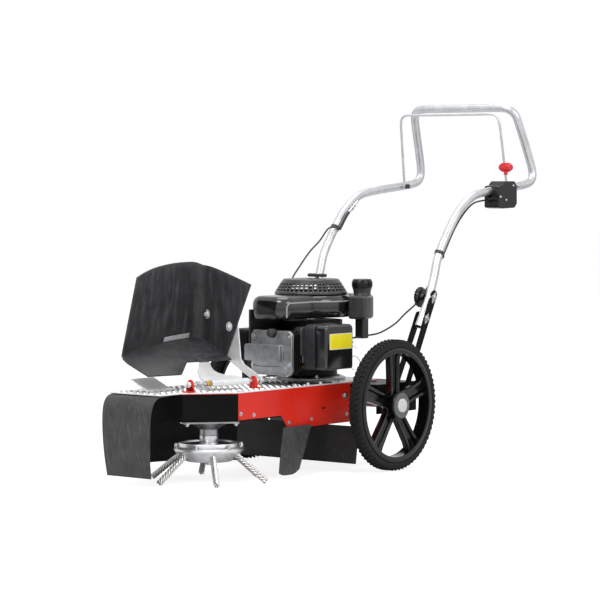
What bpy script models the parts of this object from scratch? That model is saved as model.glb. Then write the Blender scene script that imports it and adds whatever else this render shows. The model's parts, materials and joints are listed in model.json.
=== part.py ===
"""Walk-behind weed brush: red sheet chassis on two spoked wheels, a petrol engine over the axle,
a rotating head of six twisted wire ropes under the front, and a rubber guard swung up."""

import math

import bmesh
import bpy
from mathutils import Matrix, Vector

# Driving dimensions, in metres. X is the operator's left, -Y the front, and Y counts from the axle.
AXLE_Y = -0.0148
GAP = 0.0003
SHEET = 0.003

WHEEL_R = 0.200
WHEEL_X = 0.2875
TYRE_HALF = 0.020
RIM_R = 0.168
SPOKES = 5
AXLE_R = 0.010

TRAY_X = 0.150
TRAY_TOP = 0.2635
TRAY_FRONT = -0.689
CHAMFER_X = 0.044
CHAMFER_Y = -0.564
TRAY_LOW = 0.143
TRAY_FRONT_LOW = 0.185
TRAY_STEP_Y = -0.355
TRAY_REAR = -0.034
DECK_BOTTOM = TRAY_TOP + GAP
DECK_TOP = 0.2675

CARRIER_X = 0.2425
CARRIER_TOP = 0.2602
CARRIER_LOW = 0.170
CARRIER_REAR = 0.180

SPINDLE = (0.045, -0.575)
CRANK = (0.0, -0.040)
BELT_LOW = 0.2205
BELT_HIGH = 0.2295
PULLEY_LOW = 0.2140
PULLEY_HIGH = 0.2360
SPINDLE_GROOVE_R = 0.036
FLANGE_LONG = 0.083
FLANGE_SHORT = 0.064
CRANK_GROOVE_R = 0.0215
BELT_THICK = 0.006
IDLER_R = 0.018

BRUSH_TUFTS = 6
BRUSH_PHASE = math.radians(18)
ROPE_R = 0.0095
ROPE_ROOT_R = 0.064
ROPE_ROOT_Z = 0.1015
ROPE_TIP_R = 0.185
DISH_R = 0.1035

HANDLE_X = 0.229
TUBE_R = 0.0135
TUBE_BORE = 0.0115
PIVOT = (0.2255, 0.452)
CLAMP = (0.2635, 0.516)
BAR_W = 0.027
BAR_T = 0.0048
BAIL_PIVOT = (0.720, 0.8575)
BAIL_R = 0.004
CABLE_R = 0.0028
CABLE_STEP = 0.017
LEVER_PIVOT = (0.2505, 0.652, 0.852)

HOOD_T = 0.0045
HOOD_ANGLE = math.radians(157)
HINGE_AT = Vector((0.055, -0.600, 0.290))
HINGE_H = Vector((0.198, 0.980, 0.0)).normalized()
HINGE_N = Vector((HINGE_H.y, -HINGE_H.x, 0.0))
UP = Vector((0, 0, 1))
HOOD_C = math.cos(HOOD_ANGLE) * HINGE_N + math.sin(HOOD_ANGLE) * UP
HOOD_S = math.sin(HOOD_ANGLE) * HINGE_N - math.cos(HOOD_ANGLE) * UP
ROD_R = 0.005

X_AXIS = Vector((1, 0, 0))
Y_AXIS = Vector((0, 1, 0))


# Scene and materials
for old in list(bpy.data.objects):
    bpy.data.objects.remove(old, do_unlink=True)


def paint(name, colour, roughness, metallic=0.0):
    material = bpy.data.materials.new(name)
    material.use_nodes = True
    shader = material.node_tree.nodes["Principled BSDF"]
    shader.inputs["Base Color"].default_value = (*colour, 1)
    shader.inputs["Roughness"].default_value = roughness
    shader.inputs["Metallic"].default_value = metallic
    material.diffuse_color = (*colour, 1)
    return material


RED = paint("red_paint", (0.72, 0.025, 0.02), 0.35)
BLACK = paint("black_paint", (0.012, 0.012, 0.013), 0.4)
PLASTIC = paint("black_plastic", (0.02, 0.02, 0.021), 0.45)
RUBBER = paint("black_rubber", (0.022, 0.022, 0.023), 0.65)
TYRE = paint("tyre_rubber", (0.028, 0.028, 0.029), 0.8)
ZINC = paint("zinc_steel", (0.62, 0.62, 0.63), 0.32, 1.0)
ALLOY = paint("cast_aluminium", (0.5, 0.5, 0.5), 0.42, 1.0)
PLATE = paint("chequer_aluminium", (0.75, 0.75, 0.76), 0.3, 1.0)
WIRE = paint("steel_wire", (0.36, 0.35, 0.34), 0.4, 1.0)
YELLOW = paint("yellow_plate", (0.9, 0.78, 0.02), 0.4)
KNOB_RED = paint("red_knob", (0.7, 0.02, 0.03), 0.3)
GREY = paint("grey_cap", (0.5, 0.5, 0.5), 0.5)


def empty(name, at, parent=None):
    thing = bpy.data.objects.new(name, None)
    thing.empty_display_size = 0.05
    thing.location = at
    bpy.context.collection.objects.link(thing)
    thing.parent = parent
    return thing


FRAME = empty("weed_brush", (0, AXLE_Y, 0))


def joint(name, at):
    return empty(name, at, FRAME)


# Shape tools: every shape is given in the axle frame and hung on an empty of that frame
def finish(name, bm, material, parent=None, smooth=False, helper=False):
    bmesh.ops.remove_doubles(bm, verts=bm.verts, dist=1e-6)
    bmesh.ops.recalc_face_normals(bm, faces=bm.faces)
    mesh = bpy.data.meshes.new(name)
    bm.to_mesh(mesh)
    bm.free()
    mesh.materials.append(material)
    if smooth:
        mesh.shade_smooth()
        mesh.set_sharp_from_angle(angle=math.radians(40))
    thing = bpy.data.objects.new(name, mesh)
    bpy.context.collection.objects.link(thing)
    hang(thing, parent)
    if helper:
        thing.hide_render = True
        thing.display_type = "WIRE"
    return thing


def hang(thing, parent):
    thing.parent = parent or FRAME
    if parent:
        thing.matrix_parent_inverse = Matrix.Translation(-parent.location)


def prism(name, outline, low, high, material, origin=(0, 0, 0), u=X_AXIS, v=Y_AXIS, **rest):
    """An outline in the plane of u and v, from low to high along u x v."""
    bm = bmesh.new()
    w = u.cross(v)
    start = Vector(origin) + w * low
    corners = [bm.verts.new(start + u * a + v * b) for a, b in outline]
    face = bm.faces.new(corners)
    moved = bmesh.ops.extrude_face_region(bm, geom=[face])["geom"]
    top = [item for item in moved if isinstance(item, bmesh.types.BMVert)]
    bmesh.ops.translate(bm, verts=top, vec=w * (high - low))
    return finish(name, bm, material, **rest)


def layered(name, layers, material, **rest):
    """Outlines in the ground plane, one above another, joined into one solid."""
    bm = bmesh.new()
    rings = [[bm.verts.new((a, b, height)) for a, b in outline] for outline, height in layers]
    for lower, upper in zip(rings, rings[1:]):
        for i in range(len(lower)):
            k = (i + 1) % len(lower)
            bm.faces.new((lower[i], lower[k], upper[k], upper[i]))
    bm.faces.new(rings[0])
    bm.faces.new(rings[-1])
    return finish(name, bm, material, **rest)


def box(name, low, high, material, **rest):
    outline = [(low[0], low[1]), (high[0], low[1]), (high[0], high[1]), (low[0], high[1])]
    return prism(name, outline, low[2], high[2], material, **rest)


def turned(name, profile, material, centre=(0, 0, 0), axis=UP, steps=32, start=0.0, smooth=True, **rest):
    """Turns (radius, height) points about an axis; a profile that never reaches the axis is a ring."""
    bm = bmesh.new()
    axis = Vector(axis).normalized()
    side = UP.cross(axis) if abs(axis.z) < 0.9 else X_AXIS
    side = side.normalized()
    other = axis.cross(side)
    rings = []
    for radius, height in profile:
        base = Vector(centre) + axis * height
        if radius < 1e-7:
            rings.append([bm.verts.new(base)] * steps)
            continue
        ring = []
        for i in range(steps):
            angle = start + 2 * math.pi * i / steps
            ring.append(bm.verts.new(base + radius * (math.cos(angle) * side + math.sin(angle) * other)))
        rings.append(ring)
    closed = profile[0][0] > 1e-7 and profile[-1][0] > 1e-7
    for j in range(len(rings) if closed else len(rings) - 1):
        lower, upper = rings[j], rings[(j + 1) % len(rings)]
        for i in range(steps):
            k = (i + 1) % steps
            face = []
            for corner in (lower[i], lower[k], upper[k], upper[i]):
                if corner not in face:
                    face.append(corner)
            if len(face) > 2:
                bm.faces.new(face)
    return finish(name, bm, material, smooth=smooth, **rest)


def rod(name, start, end, radius, material, steps=16, **rest):
    start, end = Vector(start), Vector(end)
    length = (end - start).length
    profile = [(0, 0), (radius, 0), (radius, length), (0, length)]
    return turned(name, profile, material, centre=start, axis=end - start, steps=steps, **rest)


def through(points, parts):
    """Points on a smooth curve through the given ones (Catmull-Rom)."""
    points = [Vector(p) for p in points]
    ends = [2 * points[0] - points[1]] + points + [2 * points[-1] - points[-2]]
    found = []
    for i in range(len(points) - 1):
        a, b, c, d = ends[i : i + 4]
        for j in range(parts):
            t = j / parts
            found.append(0.5 * (2 * b + (c - a) * t + (2 * a - 5 * b + 4 * c - d) * t**2
                                + (3 * b - a - 3 * c + d) * t**3))
    return found + [points[-1]]


def even(points, step):
    """The same curve with points at an even spacing."""
    lengths = [0.0]
    for a, b in zip(points, points[1:]):
        lengths.append(lengths[-1] + (b - a).length)
    count = max(2, round(lengths[-1] / step))
    found, at = [], 0
    for i in range(count + 1):
        want = lengths[-1] * i / count
        while at < len(points) - 2 and lengths[at + 1] < want:
            at += 1
        share = (want - lengths[at]) / (lengths[at + 1] - lengths[at])
        found.append(points[at].lerp(points[at + 1], share))
    return found


def bends(points, turn):
    """Only the points where the path has turned by that much since the last one kept."""
    kept = [points[0]]
    for before, point, after in zip(points, points[1:], points[2:]):
        if (point - kept[-1]).angle(after - point) > turn:
            kept.append(point)
    return kept + [points[-1]]


def sweep(name, points, radius, material, sides=12, bore=None, **rest):
    """A round bar, or with a bore an open tube, along a path."""
    bm = bmesh.new()
    points = [Vector(p) for p in points]
    tangent = (points[1] - points[0]).normalized()
    side = tangent.orthogonal().normalized()
    rings = []
    for i, point in enumerate(points):
        before, after = points[max(i - 1, 0)], points[min(i + 1, len(points) - 1)]
        new = (after - before).normalized()
        side = (tangent.rotation_difference(new) @ side).normalized()
        tangent = new
        other = tangent.cross(side)
        around = [math.cos(a) * side + math.sin(a) * other
                  for a in (2 * math.pi * k / sides for k in range(sides))]
        rings.append([[bm.verts.new(point + r * d) for d in around] for r in (radius, bore) if r])
    for lower, upper in zip(rings, rings[1:]):
        for ring_low, ring_high in zip(lower, upper):
            for i in range(sides):
                k = (i + 1) % sides
                bm.faces.new((ring_low[i], ring_low[k], ring_high[k], ring_high[i]))
    for end in (rings[0], rings[-1]):
        if bore:
            for i in range(sides):
                k = (i + 1) % sides
                bm.faces.new((end[0][i], end[0][k], end[1][k], end[1][i]))
        else:
            bm.faces.new(end[0])
    return finish(name, bm, material, smooth=True, **rest)


def cable(name, points, radius, material, parent=None, resolution=2):
    curve = bpy.data.curves.new(name, "CURVE")
    curve.dimensions = "3D"
    curve.bevel_depth = radius
    curve.bevel_resolution = resolution
    curve.use_fill_caps = True
    spline = curve.splines.new("POLY")
    spline.points.add(len(points) - 1)
    for point, at in zip(spline.points, points):
        point.co = (*at, 1)
    curve.materials.append(material)
    thing = bpy.data.objects.new(name, curve)
    bpy.context.collection.objects.link(thing)
    hang(thing, parent)
    return thing


def combine(target, operation, others):
    for other in others:
        step = target.modifiers.new(f"{operation.lower()}_{other.name}", "BOOLEAN")
        step.operation = operation
        step.object = other
        step.solver = "EXACT"
        other.hide_render = True
        other.display_type = "WIRE"
    return target


def cut(target, *others):
    return combine(target, "DIFFERENCE", others)


def fuse(target, *others):
    return combine(target, "UNION", others)


def rounded(corners, radii, parts=4):
    """An outline with its corners rounded, each by its own radius."""
    found = []
    for i, (corner, radius) in enumerate(zip(corners, radii)):
        here = Vector(corner)
        back = (Vector(corners[i - 1]) - here).normalized()
        ahead = (Vector(corners[(i + 1) % len(corners)]) - here).normalized()
        if radius <= 0:
            found.append((here.x, here.y))
            continue
        half = back.angle(ahead) / 2
        centre = here + (back + ahead).normalized() * (radius / math.sin(half))
        first = here + back * (radius / math.tan(half)) - centre
        last = here + ahead * (radius / math.tan(half)) - centre
        for k in range(parts + 1):
            mixed = first.lerp(last, k / parts).normalized() * radius
            found.append(((centre + mixed).x, (centre + mixed).y))
    return found


def hole(name, at, axis, radius, length, parent=None):
    """A round cutter centred at a point."""
    axis = Vector(axis).normalized()
    start = Vector(at) - axis * (length / 2)
    return rod(name, start, start + axis * length, radius, BLACK, steps=20, helper=True, parent=parent)


def side_plate(name, outline, x_low, x_high, material, **rest):
    """An outline in (Y, z) between two X planes."""
    return prism(name, outline, x_low, x_high, material, u=Y_AXIS, v=UP, **rest)


def front_plate(name, outline, y_low, y_high, material, **rest):
    """An outline in (X, z) between two Y planes."""
    return prism(name, outline, -y_high, -y_low, material, u=X_AXIS, v=UP, **rest)


def rect(a_low, b_low, a_high, b_high):
    return [(a_low, b_low), (a_high, b_low), (a_high, b_high), (a_low, b_high)]


# Red sheet tray, open below and to the rear
def tray_plan(inset, rear):
    run = Vector((TRAY_X - CHAMFER_X, CHAMFER_Y - TRAY_FRONT)).normalized()
    out = Vector((run.y, -run.x))
    on_chamfer = Vector((CHAMFER_X, TRAY_FRONT)) - out * inset
    front_y = TRAY_FRONT + inset
    side_x = TRAY_X - inset
    front = on_chamfer + run * ((front_y - on_chamfer.y) / run.y)
    side = on_chamfer + run * ((side_x - on_chamfer.x) / run.x)
    return [(side_x, rear), (-side_x, rear), (-side_x, front_y), (front.x, front.y), (side.x, side.y)]


tray = prism("chassis_tray", tray_plan(0, TRAY_REAR), TRAY_LOW, TRAY_TOP, RED)
tray_inside = prism("tray_inside", tray_plan(SHEET, TRAY_REAR + 0.05), TRAY_LOW - 0.02, TRAY_TOP - SHEET,
                    RED, helper=True)
tray_step = [(TRAY_FRONT - 0.05, TRAY_LOW - 0.03), (TRAY_STEP_Y + 0.03, TRAY_LOW - 0.03),
             (TRAY_STEP_Y + 0.02, TRAY_LOW), (TRAY_STEP_Y - 0.01, TRAY_FRONT_LOW),
             (TRAY_FRONT - 0.05, TRAY_FRONT_LOW)]
tray_under = side_plate("tray_under", tray_step, -0.2, 0.2, RED, helper=True)
tray_sheet = box("tray_sheet", (-TRAY_X, TRAY_REAR - 0.02, TRAY_TOP - SHEET), (TRAY_X, 0.10, TRAY_TOP),
                 RED, helper=True)
crank_hole = hole("crank_hole", (*CRANK, TRAY_TOP), UP, 0.020, 0.03)
fuse(cut(tray, tray_inside, tray_under), tray_sheet)
cut(tray, crank_hole)

# Black plate over the chamfered front
chamfer_u = Vector((TRAY_X - CHAMFER_X, CHAMFER_Y - TRAY_FRONT, 0))
chamfer_length = chamfer_u.length
chamfer_u.normalize()
prism("front_face_plate", rect(0.001, TRAY_FRONT_LOW, chamfer_length - 0.001, TRAY_TOP - 0.001),
      GAP, 0.0018, BLACK, origin=(CHAMFER_X, TRAY_FRONT, 0), u=chamfer_u, v=UP)

# Black plate over the straight part of the front
front_plate("front_edge_plate", rect(-TRAY_X + 0.001, TRAY_FRONT_LOW, CHAMFER_X - 0.0005, TRAY_TOP - 0.001),
            TRAY_FRONT - 0.0018, TRAY_FRONT - GAP, BLACK)

# Belly plate closing the front compartment
belly = prism("belly_plate", tray_plan(0.001, TRAY_STEP_Y - 0.015), TRAY_FRONT_LOW - SHEET - GAP,
              TRAY_FRONT_LOW - GAP, BLACK)
cut(belly, hole("belly_hole", (*SPINDLE, TRAY_FRONT_LOW), UP, 0.022, 0.03))

# Chequer plate deck
deck_plan = [(0.150, -0.380), (-0.157, -0.380), (-0.157, -0.785), (0.040, -0.785), (0.044, -0.689),
             (0.150, -0.560)]
deck = prism("deck_plate", deck_plan, DECK_BOTTOM, DECK_TOP, PLATE)

# Hinge tabs, rod and torsion spring of the guard
def hinge_tab(name, along):
    foot = HINGE_AT.z - DECK_TOP - GAP
    outline = [(-0.020, -foot), (0.020, -foot)] + [
        (0.015 * math.cos(a), 0.015 * math.sin(a)) for a in (math.pi * k / 6 for k in range(7))]
    centre = HINGE_AT + HINGE_H * along
    body = prism(name, outline, -0.002, 0.002, RED, origin=centre, u=HINGE_N, v=UP)
    side = 1 if along < 0 else -1
    reach = sorted((-side * 0.001, side * 0.020))
    flange = prism(f"{name}_foot", rect(-0.0190, 0.0002, 0.0190, 0.0030), *reach, RED, origin=centre - UP * foot,
                   u=HINGE_N, v=UP, helper=True)
    fuse(body, flange)
    cut(body, hole(f"{name}_hole", centre, HINGE_H, ROD_R + 0.0004, 0.02))


hinge_tab("hinge_tab_front", -0.056)
hinge_tab("hinge_tab_rear", 0.179)
rod("hinge_rod", HINGE_AT - HINGE_H * 0.066, HINGE_AT + HINGE_H * 0.216, ROD_R, ZINC)

SPRING_TURNS = 6
SPRING_R = 0.0078
SPRING_WIRE = 0.0009
SPRING_PITCH = 0.0028
COIL_POINTS = 9
spring_points = []
for i in range(SPRING_TURNS * COIL_POINTS + 1):
    angle = 2 * math.pi * i / COIL_POINTS
    centre = HINGE_AT + HINGE_H * (-0.034 + SPRING_PITCH * i / COIL_POINTS)
    spring_points.append(centre + SPRING_R * (math.cos(angle) * HINGE_N + math.sin(angle) * UP))
spring_points.append(spring_points[-1] - UP.cross(HINGE_H) * 0.012)
cable("hinge_spring", spring_points, SPRING_WIRE, ZINC, resolution=1)
least = min((a - b).length for i, a in enumerate(spring_points) for b in spring_points[i + 5 :])
print(f"hinge spring: least gap to itself {(least - 2 * SPRING_WIRE) * 1000:.2f} mm")

# Turned-up tongue of the deck, under the raised guard
rest_side = [(-0.060, 0.2660), (-0.060, 0.2702), (-0.085, 0.2706), (-0.150, 0.3000), (-0.152, 0.2972),
             (-0.088, 0.2660)]
fuse(deck, front_plate("deck_tongue", rest_side, -0.700, -0.600, PLATE, helper=True))


# Rubber flaps and skirts
def hung_sheet(name, rows, thickness, material=RUBBER, parent=None):
    """A sheet through rows of points, made solid to one side."""
    bm = bmesh.new()
    grid = [[bm.verts.new(p) for p in row] for row in rows]
    for low, high in zip(grid, grid[1:]):
        for i in range(len(low) - 1):
            bm.faces.new((low[i], low[i + 1], high[i + 1], high[i]))
    thing = finish(name, bm, material, parent=parent, smooth=True)
    step = thing.modifiers.new("thickness", "SOLIDIFY")
    step.thickness = thickness
    step.offset = 0
    step.use_even_offset = True
    return thing


flap_profile = through([(0, -0.742, 0.2613), (0, -0.772, 0.2613), (0, -0.797, 0.254), (0, -0.813, 0.232),
                        (0, -0.820, 0.195), (0, -0.8215, 0.140), (0, -0.817, 0.080), (0, -0.809, 0.026)], 2)
flap_rows = []
for point in flap_profile:
    drop = (0.26 - point.z) / 0.24
    flap_rows.append([(-0.155 + 0.012 * drop, point.y, point.z), (0.038 - 0.010 * drop, point.y, point.z)])
hung_sheet("front_flap", flap_rows, 0.0036)

skirt_centre = Vector((0.107, -0.643))
skirt_rows = []
for height in (0.1812, 0.115, 0.045):
    row = []
    for k in range(13):
        angle = math.radians(113 + (172 - 113) * k / 12)
        at = skirt_centre + 0.27 * Vector((math.cos(angle), math.sin(angle)))
        row.append((at.x, at.y, height))
    skirt_rows.append(row)
hung_sheet("brush_skirt", skirt_rows, 0.004)

rear_rows = [[(-0.262, y, z), (0.262, y, z)] for y, z in ((-0.140, 0.1425), (-0.140, 0.115), (-0.152, 0.030))]
hung_sheet("rear_skirt", rear_rows, 0.004)

side_rows = []
for k in range(6):
    share = k / 5
    top = Vector((0.1545, -0.362 + 0.130 * share, 0.150))
    middle = Vector((0.168, -0.392 + 0.115 * share, 0.085))
    foot = Vector((0.198, -0.436 + 0.096 * share, 0.014 + 0.012 * (2 * abs(share - 0.45)) ** 3))
    side_rows.append([top, top.lerp(middle, 0.5), middle, middle.lerp(foot, 0.5), foot])
hung_sheet("side_flap", side_rows, 0.004)

# Spindle bearing housing: a flange along the chamfer, cone and neck in one casting
flange_plan = [(SPINDLE[0] + chamfer_u.x * a + chamfer_u.y * b, SPINDLE[1] + chamfer_u.y * a - chamfer_u.x * b)
               for a, b in ((FLANGE_LONG, -FLANGE_SHORT), (FLANGE_LONG, FLANGE_SHORT),
                            (-FLANGE_LONG, FLANGE_SHORT), (-FLANGE_LONG, -FLANGE_SHORT))]
housing = prism("bearing_housing", rounded(flange_plan, [0.012] * 4), 0.1755, TRAY_FRONT_LOW - SHEET - 2 * GAP,
                ALLOY, smooth=True)
housing_neck = turned("housing_neck", [(0, 0.178), (0.060, 0.178), (0.058, 0.1735), (0.030, 0.158),
                                       (0.0275, 0.154), (0.0275, 0.1372), (0, 0.1372)], ALLOY,
                      centre=(*SPINDLE, 0), steps=20, helper=True)
housing_bore = hole("housing_bore", (*SPINDLE, 0.16), UP, 0.0115, 0.08)
cut(fuse(housing, housing_neck), housing_bore)

# Rear axle and its folded carrier
carrier = side_plate("axle_carrier", rect(-0.020, CARRIER_LOW, CARRIER_REAR, CARRIER_TOP), -CARRIER_X,
                     CARRIER_X, BLACK)
carrier_inside = side_plate("carrier_inside", rect(-0.05, CARRIER_LOW - 0.02, CARRIER_REAR - 0.003,
                                                   CARRIER_TOP - 0.0032), -CARRIER_X + 0.004,
                            CARRIER_X - 0.004, BLACK, helper=True)
cut(carrier, carrier_inside, hole("axle_hole", (0, 0, WHEEL_R), X_AXIS, AXLE_R + GAP, 0.7))
rod("axle", (-0.3185, 0, WHEEL_R), (0.3185, 0, WHEEL_R), AXLE_R, ZINC, steps=24)


# Wheels: tyre, rim with double-ribbed spokes, and hub cap
def wheel(side, sign):
    spin = joint(f"spin_{side}", (sign * WHEEL_X, 0, WHEEL_R))
    centre = (sign * WHEEL_X, 0, WHEEL_R)
    axis = (sign, 0, 0)
    tread = [(RIM_R + GAP, -0.0145), (0.1748, -0.0160), (0.1765, -0.0185), (0.1870, -TYRE_HALF),
             (0.1970, -0.0180), (WHEEL_R, -0.0110)]
    tyre_profile = tread + [(r, -x) for r, x in reversed(tread)]
    turned(f"tyre_{side}", tyre_profile, TYRE, centre=centre, axis=axis, steps=32, parent=spin)
    half = [(0.158, -0.020), (0.1742, -0.0190), (0.1742, -0.0165), (RIM_R, -0.0152)]
    rim_profile = half + [(r, -x) for r, x in reversed(half)]
    rim = turned(f"rim_{side}", rim_profile, PLASTIC, centre=centre, axis=axis, steps=32, parent=spin)
    hub = turned(f"hub_{side}", [(AXLE_R + 0.0005, -0.025), (0.031, -0.025), (0.033, 0.020), (0.042, 0.026),
                                 (0.042, 0.032), (0.038, 0.034), (AXLE_R + 0.0005, 0.034)], PLASTIC,
                 centre=centre, axis=axis, steps=20, start=0.03, parent=spin, helper=True)
    spokes = []
    section = [(-0.022, -0.012), (0.022, -0.012), (0.022, 0.010), (0.013, 0.010), (0.010, -0.002),
               (-0.010, -0.002), (-0.013, 0.010), (-0.022, 0.010)]
    for k in range(SPOKES):
        angle = math.radians(90 + 72 * k)
        along = Vector((0, math.cos(angle), math.sin(angle)))
        spokes.append(spoke(side, sign, k, along, section, centre, spin))
    cap_profile = [(0, 0.0330), (0.0210, 0.0330), (0.0210, 0.0380), (0.0180, 0.0410), (0, 0.0410)]
    cap = turned(f"hub_cap_{side}", cap_profile, GREY, centre=centre, axis=axis, steps=20, parent=spin,
                 helper=True)
    fuse(rim, hub, cap, *spokes)


def spoke(side, sign, k, along, section, centre, spin):
    """A channel-section spoke, its two ribs on the outer face."""
    bm = bmesh.new()
    across = along.cross(X_AXIS)
    ends = []
    for reach, width in ((0.0285, 0.92), (0.1625, 1.12)):
        ends.append([bm.verts.new(Vector(centre) + along * reach + across * (a * width)
                                  + X_AXIS * (sign * b)) for a, b in section])
    count = len(section)
    for i in range(count):
        j = (i + 1) % count
        bm.faces.new((ends[0][i], ends[0][j], ends[1][j], ends[1][i]))
    bm.faces.new(ends[0])
    bm.faces.new(ends[1])
    return finish(f"spoke_{side}_{k}", bm, PLASTIC, parent=spin, helper=True)


wheel("left", 1)
wheel("right", -1)


# Belt drive: engine pulley, spindle pulley, belt, and the arm that tightens it
def belt_loop(grow):
    first, second = Vector(CRANK), Vector(SPINDLE)
    r_first = CRANK_GROOVE_R + GAP + grow
    r_second = SPINDLE_GROOVE_R + GAP + grow
    line = second - first
    heading = math.atan2(line.y, line.x)
    spread = math.acos((r_first - r_second) / line.length)
    found = []
    for k in range(9):
        a = heading + spread + (2 * math.pi - 2 * spread) * k / 8
        found.append(first + r_first * 1.012 * Vector((math.cos(a), math.sin(a))))
    for k in range(9):
        a = heading - spread + 2 * spread * k / 8
        found.append(second + r_second * 1.012 * Vector((math.cos(a), math.sin(a))))
    return [(p.x, p.y) for p in found]


belt = prism("drive_belt", belt_loop(BELT_THICK), BELT_LOW, BELT_HIGH, RUBBER)
cut(belt, prism("belt_inside", belt_loop(0), BELT_LOW - 0.01, BELT_HIGH + 0.01, RUBBER, helper=True))


def pulley_profile(groove, rim):
    middle = (PULLEY_LOW + PULLEY_HIGH) / 2
    return [(0, PULLEY_LOW), (rim, PULLEY_LOW), (rim, PULLEY_LOW + 0.003), (groove, middle - 0.0060),
            (groove, middle + 0.0060), (rim, PULLEY_HIGH - 0.003), (rim, PULLEY_HIGH)]


crank_spin = joint("crank_spin", (*CRANK, PULLEY_LOW))
CRANKSHAFT_R = 0.0125
turned("crankshaft", pulley_profile(CRANK_GROOVE_R, 0.029)
       + [(CRANKSHAFT_R, PULLEY_HIGH), (CRANKSHAFT_R, 0.4660), (0.085, 0.4660), (0.088, 0.474),
          (0.088, 0.505), (0.080, 0.505), (0.080, 0.480), (0.030, 0.480), (0.026, 0.512), (0, 0.512)], ZINC,
       centre=(*CRANK, 0), steps=16, parent=crank_spin)

brush_spin = joint("brush_spin", (*SPINDLE, 0.1))
SHAFT_R = 0.010
collar_profile = [(0, 0.0620), (SHAFT_R, 0.0620), (SHAFT_R, 0.1100), (0.028, 0.1100), (0.028, 0.1180),
                  (0.0245, 0.1200), (0.0245, 0.1240), (0.0275, 0.1255), (0.0275, 0.1365), (SHAFT_R, 0.1365)]
turned("brush_spindle", collar_profile + [(SHAFT_R, PULLEY_LOW)] + pulley_profile(SPINDLE_GROOVE_R, 0.045)[1:]
       + [(SHAFT_R, PULLEY_HIGH), (SHAFT_R, 0.2420), (0, 0.2420)], ZINC, centre=(*SPINDLE, 0), steps=16,
       parent=brush_spin)
turned("clamp_plate", [(SHAFT_R + GAP, 0.1045), (0.0905, 0.1045), (0.0905, 0.1165), (0.0850, 0.1165),
                       (0.0840, 0.1097), (SHAFT_R + GAP, 0.1097)], ALLOY, centre=(*SPINDLE, 0), steps=28,
       parent=brush_spin)
dish = turned("brush_dish", [(SHAFT_R + GAP, 0.0610), (0.063, 0.0610), (0.070, 0.0635), (0.100, 0.0905),
                             (DISH_R, 0.0950), (DISH_R, 0.0985), (0.098, 0.1040), (SHAFT_R + GAP, 0.1040)],
              ALLOY, centre=(*SPINDLE, 0), steps=28, parent=brush_spin)
rope_cuts = []
for k in range(BRUSH_TUFTS):
    angle = BRUSH_PHASE + 2 * math.pi * k / BRUSH_TUFTS
    out = Vector((math.cos(angle), math.sin(angle), 0))
    slope = (out * (ROPE_TIP_R - ROPE_ROOT_R) - UP * (ROPE_ROOT_Z - 0.0067)).normalized()
    root = Vector((*SPINDLE, ROPE_ROOT_Z - 0.010)) + out * (ROPE_ROOT_R + 0.010)
    drop = (root.z - ROPE_R * math.sqrt(1 - slope.z**2)) / -slope.z
    rod(f"wire_rope_{k + 1}", root, root + slope * drop, ROPE_R, WIRE, steps=10, parent=brush_spin)
    rope_cuts.append(rod(f"rope_bore_{k + 1}", root - slope * 0.0006, root + slope * 0.09, ROPE_R + 0.0006,
                         ALLOY, steps=10, helper=True, parent=brush_spin))
cut(dish, *rope_cuts)

ARM_PIVOT = (0.126, -0.345)
IDLER_AT = (0.0862, -0.290)
fuse(tray, rod("tension_post", (*ARM_PIVOT, 0.2370), (*ARM_PIVOT, TRAY_TOP - 0.001), 0.005, RED, steps=12,
               helper=True))
tension = joint("tension_swing", (*ARM_PIVOT, 0.245))
run = (Vector(IDLER_AT) - Vector(ARM_PIVOT)).normalized()
over = Vector((-run.y, run.x))
arm_plan = []
for centre_at, facing in ((Vector(ARM_PIVOT), -run), (Vector(IDLER_AT), run)):
    begin = math.atan2(facing.y, facing.x) - math.pi / 2
    for k in range(7):
        a = begin + math.pi * k / 6
        arm_plan.append((centre_at.x + 0.010 * math.cos(a), centre_at.y + 0.010 * math.sin(a)))
arm = prism("tension_arm", arm_plan, 0.2400, 0.2440, ZINC, parent=tension)
cut(arm, hole("arm_hole", (*ARM_PIVOT, 0.242), UP, 0.0056, 0.02, parent=tension))
fuse(arm, rod("arm_pin", (*IDLER_AT, 0.2150), (*IDLER_AT, 0.2420), 0.004, ZINC, steps=12, helper=True,
              parent=tension))
idler = joint("idler_spin", (*IDLER_AT, 0.225))
turned("idler_pulley", [(0.0045, 0.2165), (IDLER_R, 0.2165), (IDLER_R, 0.2345), (0.0045, 0.2345)], ZINC,
       centre=(*IDLER_AT, 0), steps=24, parent=idler)

# Engine: crankcase with finned cylinder
block = turned("engine_block", [(0.014, DECK_BOTTOM), (0.105, DECK_BOTTOM), (0.105, 0.2760), (0.082, 0.2840),
                                (0.080, 0.3900), (0.098, 0.4020), (0.098, 0.4520), (0.014, 0.4520)], BLACK,
               centre=(*CRANK, 0), steps=24)
block_adds = [box("cylinder_core", (-0.030, -0.2685, 0.306), (0.085, -0.070, 0.424), BLACK, helper=True)]
for k in range(5):
    y = -0.2725 + 0.0092 * k
    block_adds.append(front_plate(f"fin_{k}", rounded(rect(-0.042, 0.298, 0.112, 0.430), [0.012] * 4, 1),
                                  y, y + 0.0042, BLACK, helper=True))
crank_room = turned("crank_room", [(0, 0.2845), (0.005, 0.2845), (0.070, 0.2925), (0.070, 0.3890),
                                   (0.087, 0.4060), (0.087, 0.4440), (0, 0.4440)], BLACK, centre=(*CRANK, 0),
                    steps=16, start=0.07, helper=True)
cylinder_bore = rod("cylinder_bore", (0.035, -0.0600, 0.365), (0.035, -0.2600, 0.365), 0.034, BLACK, steps=14,
                    helper=True)
cut(fuse(block, *block_adds), crank_room, cylinder_bore)

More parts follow.
